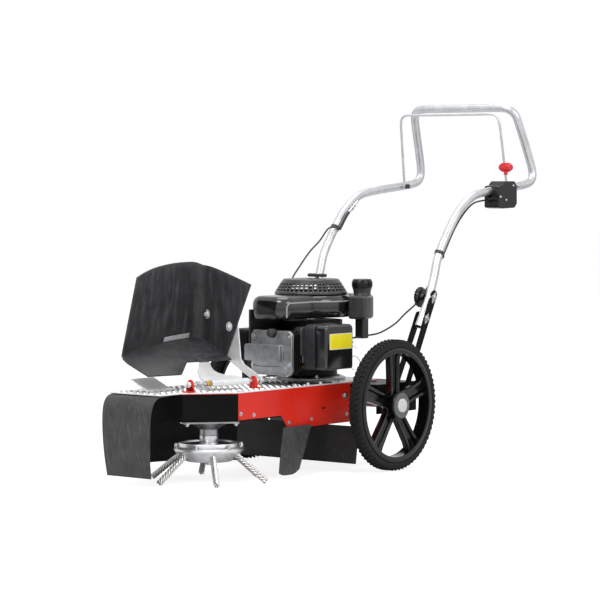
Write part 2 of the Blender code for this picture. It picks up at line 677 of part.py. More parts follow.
# Cylinder head cover, cast, with a notch for the spark plug boot
cover_outline = rounded([(-0.036, 0.296), (0.112, 0.296), (0.122, 0.310), (0.122, 0.420), (0.110, 0.431),
                         (0.064, 0.431), (0.060, 0.410), (0.030, 0.410), (0.026, 0.431), (-0.026, 0.431),
                         (-0.036, 0.418), (-0.036, 0.318)],
                        [0.006, 0.006, 0.006, 0.006, 0.006, 0.003, 0.012, 0.012, 0.003, 0.006, 0.006, 0.006], 2)
cover = front_plate("head_cover", cover_outline, -0.2850, -0.2728, ALLOY)
cover_box = front_plate("cover_box", rounded(rect(-0.052, 0.338, 0.086, 0.388), [0.006] * 4, 2), -0.2990,
                        -0.2800, ALLOY, helper=True)
cover_band = front_plate("cover_band", rounded(rect(-0.022, 0.302, 0.104, 0.322), [0.005] * 4, 2), -0.2920,
                         -0.2820, ALLOY, helper=True)
fuse(cover, cover_box, cover_band)
turned("spark_plug_boot", [(0, 0), (0.0105, 0), (0.0125, 0.003), (0.0125, 0.022), (0.0085, 0.027), (0, 0.027)],
       RUBBER, centre=(0.045, -0.2732, 0.4240), axis=(0, -1, 0), steps=16)

# Air filter with its intake stub, and the plain yellow plate on it
filter_outline = rounded(rect(-0.2155, 0.312, -0.083, 0.448), [0.008, 0.008, 0.016, 0.016])
filter_base = side_plate("filter_base", filter_outline, 0.1150, 0.1550, PLASTIC, smooth=True)
fuse(filter_base, rod("intake_stub", (0.0855, -0.165, 0.370), (0.1250, -0.165, 0.370), 0.022, PLASTIC, steps=20,
                      helper=True))
filter_cover = side_plate("filter_cover", filter_outline, 0.1553, 0.2000, PLASTIC)
filter_edge = filter_cover.modifiers.new("edge", "BEVEL")
filter_edge.width = 0.007
filter_edge.segments = 2
filter_edge.limit_method = "ANGLE"
yellow_outline = rounded(rect(-0.1975, 0.3755, -0.0915, 0.4195), [0.002] * 4, 1)
side_plate("yellow_plate", yellow_outline, 0.2003, 0.2011, YELLOW)

# Muffler with its guard, on the far side
muffler = side_plate("muffler", rounded(rect(-0.215, 0.330, -0.075, 0.425), [0.018] * 4), -0.185, -0.1053,
                     BLACK)
muffler_edge = muffler.modifiers.new("edge", "BEVEL")
muffler_edge.width = 0.006
muffler_edge.segments = 2
muffler_edge.limit_method = "ANGLE"
cut(muffler, box("muffler_room", (-0.178, -0.208, 0.337), (-0.112, -0.082, 0.418), BLACK, helper=True),
    hole("muffler_outlet", (-0.182, -0.105, 0.352), X_AXIS, 0.008, 0.03))

# Fan shroud: round over the flywheel, with a lobe over the cylinder, hollow and open below
SHROUD_R = 0.1245
SHROUD_LOW = 0.4635
SHROUD_TOP = 0.5320


def shroud_plan(inset):
    found = []
    r = SHROUD_R - inset
    left, right, front = -0.064 + inset, 0.084 - inset, -0.272 + inset
    a_left = math.acos(left / r)
    a_right = math.acos(right / r)
    for k in range(17):
        a = -a_right + (2 * math.pi - a_left + a_right) * k / 16
        found.append((CRANK[0] + r * math.cos(a), CRANK[1] + r * math.sin(a)))
    lobe = rounded([(left, -0.100), (left, front), (right, front), (right, -0.100)], [0, 0.045, 0.045, 0])
    return found + lobe[1:-1]


SHROUD_WALL = 0.0035
SHROUD_BEND = 0.5120
shroud_layers = [(0.0, SHROUD_LOW), (0.0, SHROUD_BEND), (0.0040, 0.5240), (0.0150, SHROUD_TOP)]
shroud = layered("fan_shroud", [(shroud_plan(inset), height) for inset, height in shroud_layers], PLASTIC,
                 smooth=True)
shroud_room = layered("shroud_inside", [(shroud_plan(SHROUD_WALL + inset), height - SHROUD_WALL)
                                        for inset, height in shroud_layers[1:]], PLASTIC, helper=True)
shroud_below = prism("shroud_below", shroud_plan(SHROUD_WALL), SHROUD_LOW - 0.03,
                     SHROUD_BEND - SHROUD_WALL + 0.0008, PLASTIC, helper=True)
cut(shroud, shroud_below, shroud_room, hole("shroud_mouth", (*CRANK, SHROUD_TOP), UP, 0.080, 0.04))
baffle_outline = rounded(rect(-0.2640, 0.330, -0.180, 0.4900), [0.012, 0.002, 0.002, 0.002])
fuse(shroud, side_plate("cylinder_baffle", baffle_outline, -0.0635, -0.0565, PLASTIC, helper=True))

# Starter housing: a slotted cone over the flywheel
turned("starter_grille", [(0.1125, SHROUD_TOP + GAP), (0.1125, 0.5370), (0.0900, 0.5745), (0.0840, 0.5785),
                          (0, 0.5800), (0, 0.5765), (0.0825, 0.5750), (0.0865, 0.5720), (0.1080, 0.5362),
                          (0.1080, SHROUD_TOP + GAP)], PLASTIC, centre=(*CRANK, 0), steps=28)
grip_slide = joint("grip_slide", (0.018, -0.032, 0.590))
grip = rod("starter_grip", (-0.018, -0.032, 0.5895), (0.054, -0.032, 0.5895), 0.0055, PLASTIC, steps=12,
           parent=grip_slide)
fuse(grip, rod("grip_stem", (0.018, -0.032, 0.5808), (0.018, -0.032, 0.5890), 0.0060, PLASTIC, steps=12,
               helper=True, parent=grip_slide))

# Fuel tank round the rear left of the shroud, its neck and cap
TANK_IN = SHROUD_R + 0.006
TANK_OUT = 0.193
tank_plan = []
for k in range(9):
    a = math.radians(8 + 112 * k / 8)
    tank_plan.append((TANK_OUT * math.cos(a), CRANK[1] + TANK_OUT * math.sin(a)))
for k in range(9):
    a = math.radians(120 - 112 * k / 8)
    tank_plan.append((TANK_IN * math.cos(a), CRANK[1] + TANK_IN * math.sin(a)))
tank = prism("fuel_tank", tank_plan, 0.4570, 0.5280, PLASTIC, smooth=True)
tank_edge = tank.modifiers.new("edge", "BEVEL")
tank_edge.width = 0.008
tank_edge.segments = 2
tank_edge.limit_method = "ANGLE"
tank_edge.angle_limit = math.radians(50)
CAP_AT = (0.1225, 0.0600)
fuse(tank, rod("tank_neck", (*CAP_AT, 0.520), (*CAP_AT, 0.5495), 0.024, PLASTIC, steps=24, helper=True),
     box("tank_leg", (0.105, 0.045, 0.412), (0.138, 0.075, 0.465), PLASTIC, helper=True))
cap_turn = joint("fuel_cap_turn", (*CAP_AT, 0.56))
turned("fuel_cap", [(0, 0.5498), (0.030, 0.5498), (0.0315, 0.553), (0.0315, 0.572), (0.028, 0.578), (0, 0.578)],
       PLASTIC, centre=(*CAP_AT, 0), steps=28, parent=cap_turn)
bracket_outline = [(-0.040, 0.330), (0.000, 0.330), (0.020, 0.385), (0.020, 0.412), (0.004, 0.412),
                   (-0.040, 0.395)]
throttle_stop = side_plate("throttle_bracket", bracket_outline, 0.1050, 0.1080, ZINC, helper=True)
bracket_foot = box("bracket_foot", (0.074, -0.038, 0.340), (0.106, -0.020, 0.360), ZINC, helper=True)
fuse(block, throttle_stop, bracket_foot)

# Bars that carry the handle: a long outer one and a short inner one each side
BAR_DIR = (Vector((0, CLAMP[0], CLAMP[1])) - Vector((0, PIVOT[0], PIVOT[1]))).normalized()
BAR_ACROSS = Vector((0, -BAR_DIR.z, BAR_DIR.y))


def bar(name, x_low, x_high, low, high, foot):
    half = BAR_W / 2
    outline = [(low, -half), (high - half, -half)]
    outline += [(high - half + half * math.cos(a), half * math.sin(a))
                for a in (math.radians(-60 + 30 * k) for k in range(5))]
    outline += [(high - half, half), (low, half)]
    points = [(PIVOT[0] + BAR_DIR.y * a + BAR_ACROSS.y * b, PIVOT[1] + BAR_DIR.z * a + BAR_ACROSS.z * b)
              for a, b in outline]
    if foot:
        points[0] = (points[0][0], foot)
        points[-1] = (points[-1][0], foot)
    return side_plate(name, points, x_low, x_high, BLACK, helper=name.startswith("inner"))


for side, sign in (("left", 1), ("right", -1)):
    outer_x = sorted((sign * 0.2430, sign * (0.2430 + BAR_T)))
    inner_x = sorted((sign * 0.2102, sign * (0.2102 + BAR_T)))
    outer = bar(f"handle_bracket_{side}", *outer_x, -0.235, 0.0985, 0.205)
    inner = bar(f"inner_bar_{side}", *inner_x, -0.205, 0.0225, CARRIER_TOP + 2 * GAP)
    notch = [(0.0744 + 0.0047, 0.0047), (0.0744 + 0.0047, -0.0047), (0.0744 - 0.0047, -0.0047),
             (0.0744 - 0.0047, 0.0047), (0.0744 - 0.0085, 0.030), (0.0744 + 0.0047, 0.030)]
    notch_points = [(PIVOT[0] + BAR_DIR.y * a + BAR_ACROSS.y * b, PIVOT[1] + BAR_DIR.z * a + BAR_ACROSS.z * b)
                    for a, b in notch]
    notch_cut = side_plate(f"notch_{side}", notch_points, -0.27, 0.27, BLACK, helper=True)
    cut(outer, notch_cut)
    bolt = rod(f"pivot_bolt_{side}", (sign * 0.2040, *PIVOT), (sign * 0.2542, *PIVOT), 0.0040, ZINC, steps=12,
               helper=True)
    head = rod(f"pivot_head_{side}", (sign * 0.2470, *PIVOT), (sign * 0.2535, *PIVOT), 0.0085, ZINC, steps=6,
               helper=True)
    nut = rod(f"pivot_nut_{side}", (sign * 0.2045, *PIVOT), (sign * 0.2110, *PIVOT), 0.0075, ZINC, steps=6,
              helper=True)
    fuse(outer, bolt, inner, head, nut)

# Handle: one bent tube, hollow and open at its two lower ends
fold = joint("handle_fold", (0, *PIVOT))
half_route = [(HANDLE_X, 0.2105, 0.4270), (HANDLE_X, 0.2635, 0.5160), (HANDLE_X, 0.2905, 0.5800),
              (HANDLE_X, 0.3120, 0.6420), (HANDLE_X, 0.3560, 0.7070), (HANDLE_X, 0.4200, 0.7800),
              (HANDLE_X, 0.4980, 0.8290), (HANDLE_X, 0.5940, 0.8460), (HANDLE_X, 0.7050, 0.8570),
              (HANDLE_X, 0.7900, 0.8660), (HANDLE_X, 0.8280, 0.8790), (0.2275, 0.8400, 0.9080),
              (0.2220, 0.8240, 0.9600), (0.2120, 0.7900, 1.0500), (0.2040, 0.7730, 1.0930),
              (0.1830, 0.7600, 1.1150), (0.1500, 0.7570, 1.1200), (0.0750, 0.7570, 1.1200)]
tube_route = half_route + [(0, 0.7570, 1.1200)] + [(-x, y, z) for x, y, z in reversed(half_route)]
tube_points = even(through(tube_route, 6), 0.0120)
tube_bends = bends(tube_points, math.radians(10))
handle_tube = sweep("handle_tube", tube_bends, TUBE_R, ZINC, sides=8, bore=TUBE_BORE, parent=fold)
for sign in (1, -1):
    cut(handle_tube, hole(f"tube_pivot_{sign}", (sign * HANDLE_X, *PIVOT), X_AXIS, 0.0045, 0.04, parent=fold),
        hole(f"tube_bail_{sign}", (sign * (HANDLE_X - 0.012), *BAIL_PIVOT), X_AXIS, BAIL_R + 0.0005, 0.012,
             parent=fold))

# Clamp bolts through the handle, with their knobs
for side, sign in (("left", 1), ("right", -1)):
    clamp_bolt = rod(f"clamp_bolt_{side}", (sign * 0.2030, *CLAMP), (sign * 0.2550, *CLAMP), 0.0040, ZINC,
                     steps=12, parent=fold, helper=True)
    diamond = [(CLAMP[0] + BAR_DIR.y * a + BAR_ACROSS.y * b, CLAMP[1] + BAR_DIR.z * a + BAR_ACROSS.z * b)
               for a, b in ((0.022, 0), (0, 0.0125), (-0.022, 0), (0, -0.0125))]
    washer = side_plate(f"clamp_washer_{side}", diamond, *sorted((sign * 0.2482, sign * 0.2500)), ZINC,
                        helper=True, parent=fold)
    clamp_head = rod(f"clamp_head_{side}", (sign * 0.2495, *CLAMP), (sign * 0.2546, *CLAMP), 0.0075, ZINC,
                     steps=6, helper=True, parent=fold)
    fuse(handle_tube, clamp_bolt, washer, clamp_head)
    turn = joint(f"knob_turn_{side}", (sign * 0.190, *CLAMP))
    turned(f"clamp_knob_{side}", [(0, 0), (0.024, 0), (0.0300, 0.004), (0.0310, 0.009), (0.0290, 0.0145),
                                  (0.012, 0.0150), (0.0105, 0.0262), (0.0046, 0.0262), (0.0046, 0.0140),
                                  (0, 0.0140)], PLASTIC, centre=(sign * 0.1885, *CLAMP), axis=(sign, 0, 0),
           steps=18, parent=turn)


def along_tube(y, sign):
    """The handle tube's centre and direction at a given Y on its lower run."""
    side_points = [p for p in tube_points if p.x * sign > 0.22 and p.z < 0.87]
    side_points.sort(key=lambda p: p.y)
    for a, b in zip(side_points, side_points[1:]):
        if a.y <= y <= b.y:
            share = (y - a.y) / (b.y - a.y)
            return a.lerp(b, share), (b - a).normalized()
    return side_points[-1], (side_points[-1] - side_points[-2]).normalized()


# Throttle housing clamped round the left tube
housing_outline = rounded([(0.5930, 0.7930), (0.6180, 0.7900), (0.6840, 0.7920), (0.6970, 0.8050),
                           (0.6970, 0.8620), (0.6840, 0.8780), (0.6300, 0.8780), (0.6150, 0.8650),
                           (0.5930, 0.8620)],
                          [0.006, 0.001, 0.008, 0.008, 0.008, 0.010, 0.010, 0.004, 0.006], 2)
control = side_plate("control_box", housing_outline, 0.2080, 0.2640, PLASTIC, parent=fold)
control_edge = control.modifiers.new("edge", "BEVEL")
control_edge.width = 0.003
control_edge.segments = 2
control_edge.limit_method = "ANGLE"
room_points = [p for p in tube_bends if p.x > 0.22 and 0.40 < p.y < 0.83 and p.z < 0.88]
tube_room = sweep("tube_room", room_points, TUBE_R + 0.0010, PLASTIC, sides=8, helper=True, parent=fold)
lever_slot = side_plate("lever_slot", [(0.646, 0.8460), (0.658, 0.8460), (0.688, 0.900), (0.616, 0.900)],
                        0.2478, 0.2532, PLASTIC, helper=True, parent=fold)
cut(control, tube_room, lever_slot)

# Throttle lever with its oval red knob
lever_turn = joint("throttle_turn", LEVER_PIVOT)
lever_x = LEVER_PIVOT[0]
lever = side_plate("throttle_lever", [(0.6490, 0.8482), (0.6550, 0.8482), (0.6550, 0.9120), (0.6490, 0.9120)],
                   lever_x - 0.0016, lever_x + 0.0016, ZINC, parent=lever_turn)
KNOB_AT = (lever_x, 0.652, 0.9225)
knob = turned("lever_knob", [(0, -0.0250), (0.0075, -0.0235), (0.0120, -0.0170), (0.0135, 0), (0.0120, 0.0170),
                             (0.0075, 0.0235), (0, 0.0250)], KNOB_RED, centre=KNOB_AT, axis=X_AXIS, steps=20,
              parent=lever_turn)
knob_neck = rod("knob_neck", (lever_x, 0.652, 0.898), (lever_x, 0.652, 0.918), 0.0065, KNOB_RED, steps=12,
                helper=True, parent=lever_turn)
fuse(knob, knob_neck)
cut(knob, side_plate("lever_room", rect(0.6485, 0.880, 0.6555, 0.9125), lever_x - 0.0021, lever_x + 0.0021,
                     KNOB_RED, helper=True, parent=lever_turn))

# Bail: one bent wire whose turned-out ends sit in the tube
bail_turn = joint("bail_turn", (0, *BAIL_PIVOT))
y0, z0 = BAIL_PIVOT
bail_half = [(0.2195, y0, z0), (0.2120, y0, z0), (0.2078, y0 - 0.0010, z0 + 0.0050),
             (0.2070, y0 - 0.0025, z0 + 0.0200), (0.2050, 0.7080, 0.9400), (0.2020, 0.6960, 1.0200),
             (0.1990, 0.6880, 1.0700), (0.1900, 0.6855, 1.0880), (0.1700, 0.6850, 1.0950),
             (0.1000, 0.6850, 1.0950)]
bail_route = bail_half + [(0, 0.6850, 1.0950)] + [(-x, y, z) for x, y, z in reversed(bail_half)]
bail_points = bends(even(through(bail_route, 6), 0.0040), math.radians(7))
sweep("bail_wire", bail_points, BAIL_R, ZINC, sides=8, parent=bail_turn)

# Control cables, each held between its housing on the handle and its stop on the machine
def cable_beside(y, sign, back, inward):
    centre, direction = along_tube(y, sign)
    behind = Vector((0, direction.z, -direction.y))
    return centre + behind * back - X_AXIS * (sign * inward)


CABLE_OFFSET = TUBE_R + CABLE_R + 0.0056
near_route = [(HANDLE_X, 0.5916, 0.8130), (HANDLE_X, 0.570, 0.8170)]
near_route += [cable_beside(y, 1, CABLE_OFFSET, 0) for y in (0.500, 0.450, 0.400, 0.360, 0.322)]
near_route += [(0.2100, 0.3215, 0.5950), (0.1920, 0.3110, 0.5500), (0.1720, 0.3020, 0.5150),
               (0.1560, 0.2900, 0.4900), (0.1420, 0.2550, 0.4620), (0.1370, 0.2100, 0.4325),
               (0.1320, 0.1400, 0.4080), (0.1280, 0.0842, 0.4020), (0.1270, 0.0450, 0.3990),
               (0.1235, 0.0120, 0.3975), (0.1090, 0.0100, 0.3975)]
near_points = even(through(near_route, 8), CABLE_STEP)
cable("throttle_cable", near_points, CABLE_R, RUBBER)
far_route = [cable_beside(y, -1, 0, CABLE_OFFSET) for y in (0.465, 0.430, 0.400, 0.372)]
far_route += [(-0.2060, 0.3113, 0.7267), (-0.1950, 0.2470, 0.6860), (-0.1800, 0.1767, 0.6524),
              (-0.1650, 0.1073, 0.6080), (-0.1560, 0.0588, 0.5700), (-0.1540, 0.0350, 0.5150),
              (-0.1540, 0.0300, 0.4200), (-0.1450, 0.0350, 0.3300), (-0.1300, 0.0450, 0.2850),
              (-0.1250, 0.0480, TRAY_TOP + 0.0012)]
far_points = even(through(far_route, 8), CABLE_STEP)
cable("clutch_cable", far_points, CABLE_R, RUBBER)
for name, points in (("throttle_cable", near_points), ("clutch_cable", far_points)):
    length = sum((b - a).length for a, b in zip(points, points[1:]))
    print(f"{name}: {length:.3f} m, {len(points)} points")

# Guard: one rubber hood, its plate and standing skirts, with the steel arm, strap and bar
guard = joint("guard_swing", tuple(HINGE_AT))


def hood_point(h, c, s):
    return HINGE_AT + HINGE_H * h + HOOD_C * c + HOOD_S * s


# Places on the guard: h along the hinge rod, c across the raised plate, s square to the plate
edge_route = [(-0.165, 0.205), (-0.120, 0.226), (-0.060, 0.250), (0.000, 0.268), (0.060, 0.283),
              (0.120, 0.294), (0.150, 0.2985)]
corner = [(0.150 + 0.045 * math.sin(a), 0.2560 + 0.0430 * math.cos(a)) for a in
          (math.radians(20 + 70 * k / 4) for k in range(5))]
rear_edge = [(0.1955, 0.232), (0.1960, 0.200), (0.1965, 0.166)]
edge = edge_route + corner + rear_edge
plate_inner = [(0.1965, 0.140), (0.030, 0.140), (0.026, 0.136), (-0.038, 0.069), (-0.044, 0.065),
               (-0.165, 0.065), (-0.180, 0.150), (-0.178, 0.180)]
SKIRT_LEVELS = 5
CORNER_AT = 9


def skirt_shape():
    """How far the skirt leans out and how high it stands, at each point of the plate's edge."""
    lengths = [0.0]
    for (h0, c0), (h1, c1) in zip(edge, edge[1:]):
        lengths.append(lengths[-1] + math.hypot(h1 - h0, c1 - c0))
    turn_at = lengths[CORNER_AT]
    found = []
    for length in lengths:
        if length <= turn_at:
            share = length / turn_at
            found.append((0.020 + 0.064 * share, 0.2430 - 0.0325 * share**2))
        else:
            share = (length - turn_at) / (lengths[-1] - turn_at)
            found.append((0.084 - 0.108 * share, 0.2105 + 0.0375 * share**0.8))
    return found


bm = bmesh.new()
edge_verts = [bm.verts.new(hood_point(h, c, 0)) for h, c in edge]
inner_verts = [bm.verts.new(hood_point(h, c, 0)) for h, c in plate_inner]
bm.faces.new(edge_verts + inner_verts)
columns = []
for foot, (h, c), (lean, top) in zip(edge_verts, edge, skirt_shape()):
    shares = [k / SKIRT_LEVELS for k in range(1, SKIRT_LEVELS + 1)]
    columns.append([foot] + [bm.verts.new(hood_point(h, c + lean * share, top * share)) for share in shares])
for a, b in zip(columns, columns[1:]):
    for k in range(SKIRT_LEVELS):
        bm.faces.new((a[k], b[k], b[k + 1], a[k + 1]))
hood = finish("guard_hood", bm, RUBBER, parent=guard, smooth=True)
thick = hood.modifiers.new("thickness", "SOLIDIFY")
thick.thickness = HOOD_T
thick.offset = 0
thick.use_even_offset = True

# The arm stands just behind the rear skirt, its plane square to the hinge rod
ARM_H = 0.1995
arm_outline = [(0.012 * math.cos(a), 0.012 * math.sin(a)) for a in (math.radians(90 + 30 * k) for k in range(7))]
arm_outline += [(0.085, -0.012), (0.120, -0.010), (0.310, -0.004), (0.316, 0.060), (0.300, 0.118),
                (0.190, 0.130), (0.170, 0.130), (0.105, 0.020), (0.085, 0.012)]
arm_plate = prism("guard_arm", arm_outline, ARM_H, ARM_H + 0.0038, ALLOY, origin=HINGE_AT, u=HOOD_C,
                  v=HOOD_S, parent=guard)
cut(arm_plate, hole("arm_eye", HINGE_AT + HINGE_H * ARM_H, HINGE_H, ROD_R + 0.0005, 0.03, parent=guard))

strap_outline = [(0.155, 0.004), (0.032, 0.004), (0.016, 0.012), (0.010, 0.030), (0.012, 0.048), (0.036, 0.092),
                 (0.078, 0.142), (0.090, 0.165), (0.127, 0.165), (0.116, 0.146), (0.097, 0.104), (0.092, 0.084),
                 (0.097, 0.066), (0.113, 0.052), (0.155, 0.042)]
strap = prism("guard_strap", strap_outline, -0.0075, -0.0027, PLATE, origin=HINGE_AT, u=HINGE_H, v=HOOD_C,
              parent=guard)
# The strap's sleeve turns on the hinge rod
sleeve = rod("strap_sleeve", HINGE_AT + HINGE_H * 0.020, HINGE_AT + HINGE_H * 0.158, 0.0095, PLATE, steps=20,
             helper=True, parent=guard)
cut(fuse(strap, sleeve), hole("sleeve_bore", HINGE_AT + HINGE_H * 0.09, HINGE_H, ROD_R + 0.0005, 0.30,
                              parent=guard))

# Flat bar on the foot of the outer skirt
def edge_at(h):
    for (h0, c0), (h1, c1) in zip(edge_route, edge_route[1:]):
        if h0 <= h <= h1:
            return c0 + (c1 - c0) * (h - h0) / (h1 - h0)
    return edge_route[-1][1]


BAR_GAP = HOOD_T / 2 + 0.0006
bar_plan = [(h, edge_at(h) - BAR_GAP) for h in (0.030, 0.060, 0.100, 0.120, 0.140)]
bar_plan += [(h, c - 0.003) for h, c in reversed(bar_plan)]
prism("guard_bar", bar_plan, 0.0030, 0.0180, ZINC, origin=HINGE_AT, u=HINGE_H, v=HOOD_C, parent=guard)
bpy.context.view_layer.update()
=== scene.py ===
import json
import math

import bmesh
import bpy
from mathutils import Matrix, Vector


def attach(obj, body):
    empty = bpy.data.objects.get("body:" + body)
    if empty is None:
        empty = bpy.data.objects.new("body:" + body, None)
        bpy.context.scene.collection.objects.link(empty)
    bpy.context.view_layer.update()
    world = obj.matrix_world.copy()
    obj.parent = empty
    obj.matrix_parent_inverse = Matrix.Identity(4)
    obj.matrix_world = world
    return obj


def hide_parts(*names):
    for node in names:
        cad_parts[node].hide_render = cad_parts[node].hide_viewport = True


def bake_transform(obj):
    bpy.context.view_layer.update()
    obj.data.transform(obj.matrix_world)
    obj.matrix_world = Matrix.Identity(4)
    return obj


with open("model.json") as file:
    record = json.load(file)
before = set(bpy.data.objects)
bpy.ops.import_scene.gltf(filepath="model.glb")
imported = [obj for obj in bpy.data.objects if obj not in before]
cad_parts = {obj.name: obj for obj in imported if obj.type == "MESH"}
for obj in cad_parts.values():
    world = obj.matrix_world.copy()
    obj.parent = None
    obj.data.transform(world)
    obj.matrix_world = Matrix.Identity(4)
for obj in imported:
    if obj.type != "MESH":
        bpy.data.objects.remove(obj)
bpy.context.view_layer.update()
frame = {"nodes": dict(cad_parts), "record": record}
print("frame loaded")

# Places below are in metres and count Y from the wheel axle, as the maker's drawing does
axleShift = -0.0148
xAxis, yAxis, zAxis = Vector((1, 0, 0)), Vector((0, 1, 0)), Vector((0, 0, 1))
fromAbove = ((0, 0, 0), xAxis, yAxis)  # for outlines drawn as a plan and raised along Z
fromSide = ((0, 0, 0), yAxis, zAxis)  # for outlines drawn from the side and given their width along X
bothSides = (("left", 1), ("right", -1))


# Colour and node helpers
def linear(hexColour):
    values = [int(hexColour[i : i + 2], 16) / 255 for i in (1, 3, 5)]
    return (*[v / 12.92 if v <= 0.04045 else ((v + 0.055) / 1.055) ** 2.4 for v in values], 1)


def feed(tree, node, inputs):
    # A node given as a value stands for its first output
    for key, value in inputs.items():
        value = value.outputs[0] if isinstance(value, bpy.types.Node) else value
        if isinstance(value, bpy.types.NodeSocket):
            tree.links.new(value, node.inputs[key])
        else:
            node.inputs[key].default_value = value


def addNode(tree, kind, inputs=None, **settings):
    node = tree.nodes.new(kind)
    for key, value in settings.items():
        setattr(node, key, value)
    feed(tree, node, inputs or {})
    return node


def maths(tree, operation, a, b, **settings):
    return addNode(tree, "ShaderNodeMath", {0: a, 1: b}, operation=operation, **settings).outputs[0]


def mixColours(tree, share, first, second):
    return addNode(tree, "ShaderNodeMix", {0: share, 6: first, 7: second}, data_type="RGBA").outputs[2]


def remap(tree, value, *limits):
    return addNode(tree, "ShaderNodeMapRange", {0: value, **dict(enumerate(limits, 1))}).outputs[0]


def noise(tree, place, millimetres, detail, roughness=0.5):
    inputs = {"Vector": place, "Scale": 1000 / millimetres, "Detail": detail, "Roughness": roughness}
    return addNode(tree, "ShaderNodeTexNoise", inputs).outputs["Fac"]


# A finish: two close colours that drift into each other, a roughness that drifts too, and a fine grain.
# coat is a weight and a roughness
def makeFinish(name, light, dark, driftMm, grainMm, depthMm, rough, metallic=0.0, ior=1.5, specular=0.5,
               grainStrength=0.6, coat=(0.0, 0.03), dust=None, streak=None):
    material = bpy.data.materials.new(name)
    material.use_nodes = True
    tree = material.node_tree
    place = addNode(tree, "ShaderNodeTexCoord").outputs["Object"]
    drift = noise(tree, place, driftMm, 5.0, 0.6)
    colour = mixColours(tree, remap(tree, drift, 0.32, 0.68), linear(dark), linear(light))
    roughness = remap(tree, drift, 0.3, 0.7, *rough)
    if streak:  # drawn or wiped lines, long along one way
        turned = addNode(tree, "ShaderNodeMapping", {"Vector": place, "Scale": streak["stretch"]})
        streaks = noise(tree, turned, streak["mm"], 4.0)
        line = remap(tree, streaks, streak["from"], 0.78, 0.0, streak["strength"])
        colour = mixColours(tree, line, colour, linear(streak["colour"]))
        roughness = maths(tree, "ADD", roughness, line, use_clamp=True)
    if dust:  # settles on what faces up
        normal = addNode(tree, "ShaderNodeNewGeometry").outputs["Normal"]
        up = addNode(tree, "ShaderNodeSeparateXYZ", {0: normal}).outputs["Z"]
        patch = maths(tree, "MULTIPLY", remap(tree, up, 0.5, 1.0, 0.0, dust["amount"]), drift)
        colour = mixColours(tree, patch, colour, linear(dust["colour"]))
    bump = addNode(tree, "ShaderNodeBump", {"Height": noise(tree, place, grainMm, 3.0), "Distance": depthMm / 1000,
                                            "Strength": grainStrength})
    feed(tree, tree.nodes["Principled BSDF"], {
        "Base Color": colour, "Roughness": roughness, "Normal": bump, "Metallic": metallic, "IOR": ior,
        "Specular IOR Level": specular, "Coat Weight": coat[0], "Coat Roughness": coat[1]})
    return material


# Baked enamel on sheet steel: an even bright red, glossy, with faint orange peel
redEnamel = makeFinish("red enamel on sheet steel", "#e3260f", "#d81f0c", driftMm=90, grainMm=3,
    depthMm=0.05, rough=(0.3, 0.4), specular=0.3, coat=(0.12, 0.12))

# Powder coat: satin black with a fine pebble
blackPowderCoat = makeFinish("black powder coat", "#0f0f10", "#09090a", driftMm=60, grainMm=0.9,
    depthMm=0.03, rough=(0.34, 0.48), specular=0.08, dust={"colour": "#4a4846", "amount": 0.04})

# Glass-filled nylon covers: dull charcoal with a spark-eroded grain
mouldedPlastic = makeFinish("moulded black nylon", "#3a3a3c", "#2e2e30", driftMm=45, grainMm=0.8,
    depthMm=0.03, rough=(0.28, 0.4), ior=1.52, specular=0.42, dust={"colour": "#55534f", "amount": 0.03})

# Polypropylene rims, caps, knobs and control box: moulded smooth, black and glossy
rimPlastic = makeFinish("moulded black polypropylene", "#101011", "#0a0a0b", driftMm=30,
    grainMm=1.2, depthMm=0.012, rough=(0.15, 0.25), ior=1.49, specular=0.4)

# Reinforced rubber sheet: flat dark grey with wiped, chalky streaks along its length
rubberSheet = makeFinish("calendered rubber sheet", "#434344", "#303031", driftMm=38, grainMm=1.6,
    depthMm=0.05, rough=(0.4, 0.58), ior=1.52, specular=0.35,
    streak={"mm": 6, "stretch": (1, 1, 0.1), "from": 0.55, "strength": 0.42, "colour": "#7c7c7e"})

# The guard's thicker moulded rubber: dark grey, scuffed chalky by stones in broad, faint streaks
hoodRubber = makeFinish("moulded rubber guard", "#3e3e40", "#2c2c2e", driftMm=55, grainMm=1.6,
    depthMm=0.05, rough=(0.4, 0.56), ior=1.52, specular=0.38,
    streak={"mm": 16, "stretch": (1, 1, 0.12), "from": 0.5, "strength": 0.24, "colour": "#808082"})

# Skirts under the tray: the same rubber sheet, coloured darker as painted shade under the tray
shadedSkirtRubber = makeFinish("rubber sheet darkened as painted shade", "#1d1d1e", "#141415", driftMm=38, grainMm=1.6,
    depthMm=0.05, rough=(0.4, 0.55), ior=1.52, specular=0.25,
    streak={"mm": 6, "stretch": (1, 1, 0.1), "from": 0.58, "strength": 0.25, "colour": "#5a5a5c"})

# Vulcanised tyre rubber: nearly black, dull, powdered with bloom
tyreRubber = makeFinish("vulcanised tyre rubber", "#202021", "#141415", driftMm=14, grainMm=0.9,
    depthMm=0.08, rough=(0.58, 0.74), ior=1.52, specular=0.2)

# Bright zinc on steel: pale, cool, with fine draw marks
brightZinc = makeFinish("bright zinc plated steel", "#d2d3d5", "#bcbec1", driftMm=22, grainMm=3,
    depthMm=0.003, rough=(0.22, 0.34), metallic=1)

# Zinc plated drawn tube: clean, pale and satin
tubeZinc = makeFinish("zinc plated drawn tube", "#d5d6d8", "#c4c5c8", driftMm=35, grainMm=6,
    depthMm=0.003, rough=(0.32, 0.4), metallic=1, grainStrength=0.1)

# Sand-cast aluminium: grey, matte and pitted
castAluminium = makeFinish("cast aluminium", "#b0b1b3", "#8d8f91", driftMm=24, grainMm=1.5,
    depthMm=0.03, rough=(0.34, 0.46), metallic=1)

# Turned aluminium: bright, with rings too fine to draw singly
turnedAluminium = makeFinish("turned aluminium", "#ecedee", "#d4d5d7", driftMm=18, grainMm=2.5,
    depthMm=0.004, rough=(0.28, 0.4), metallic=1)

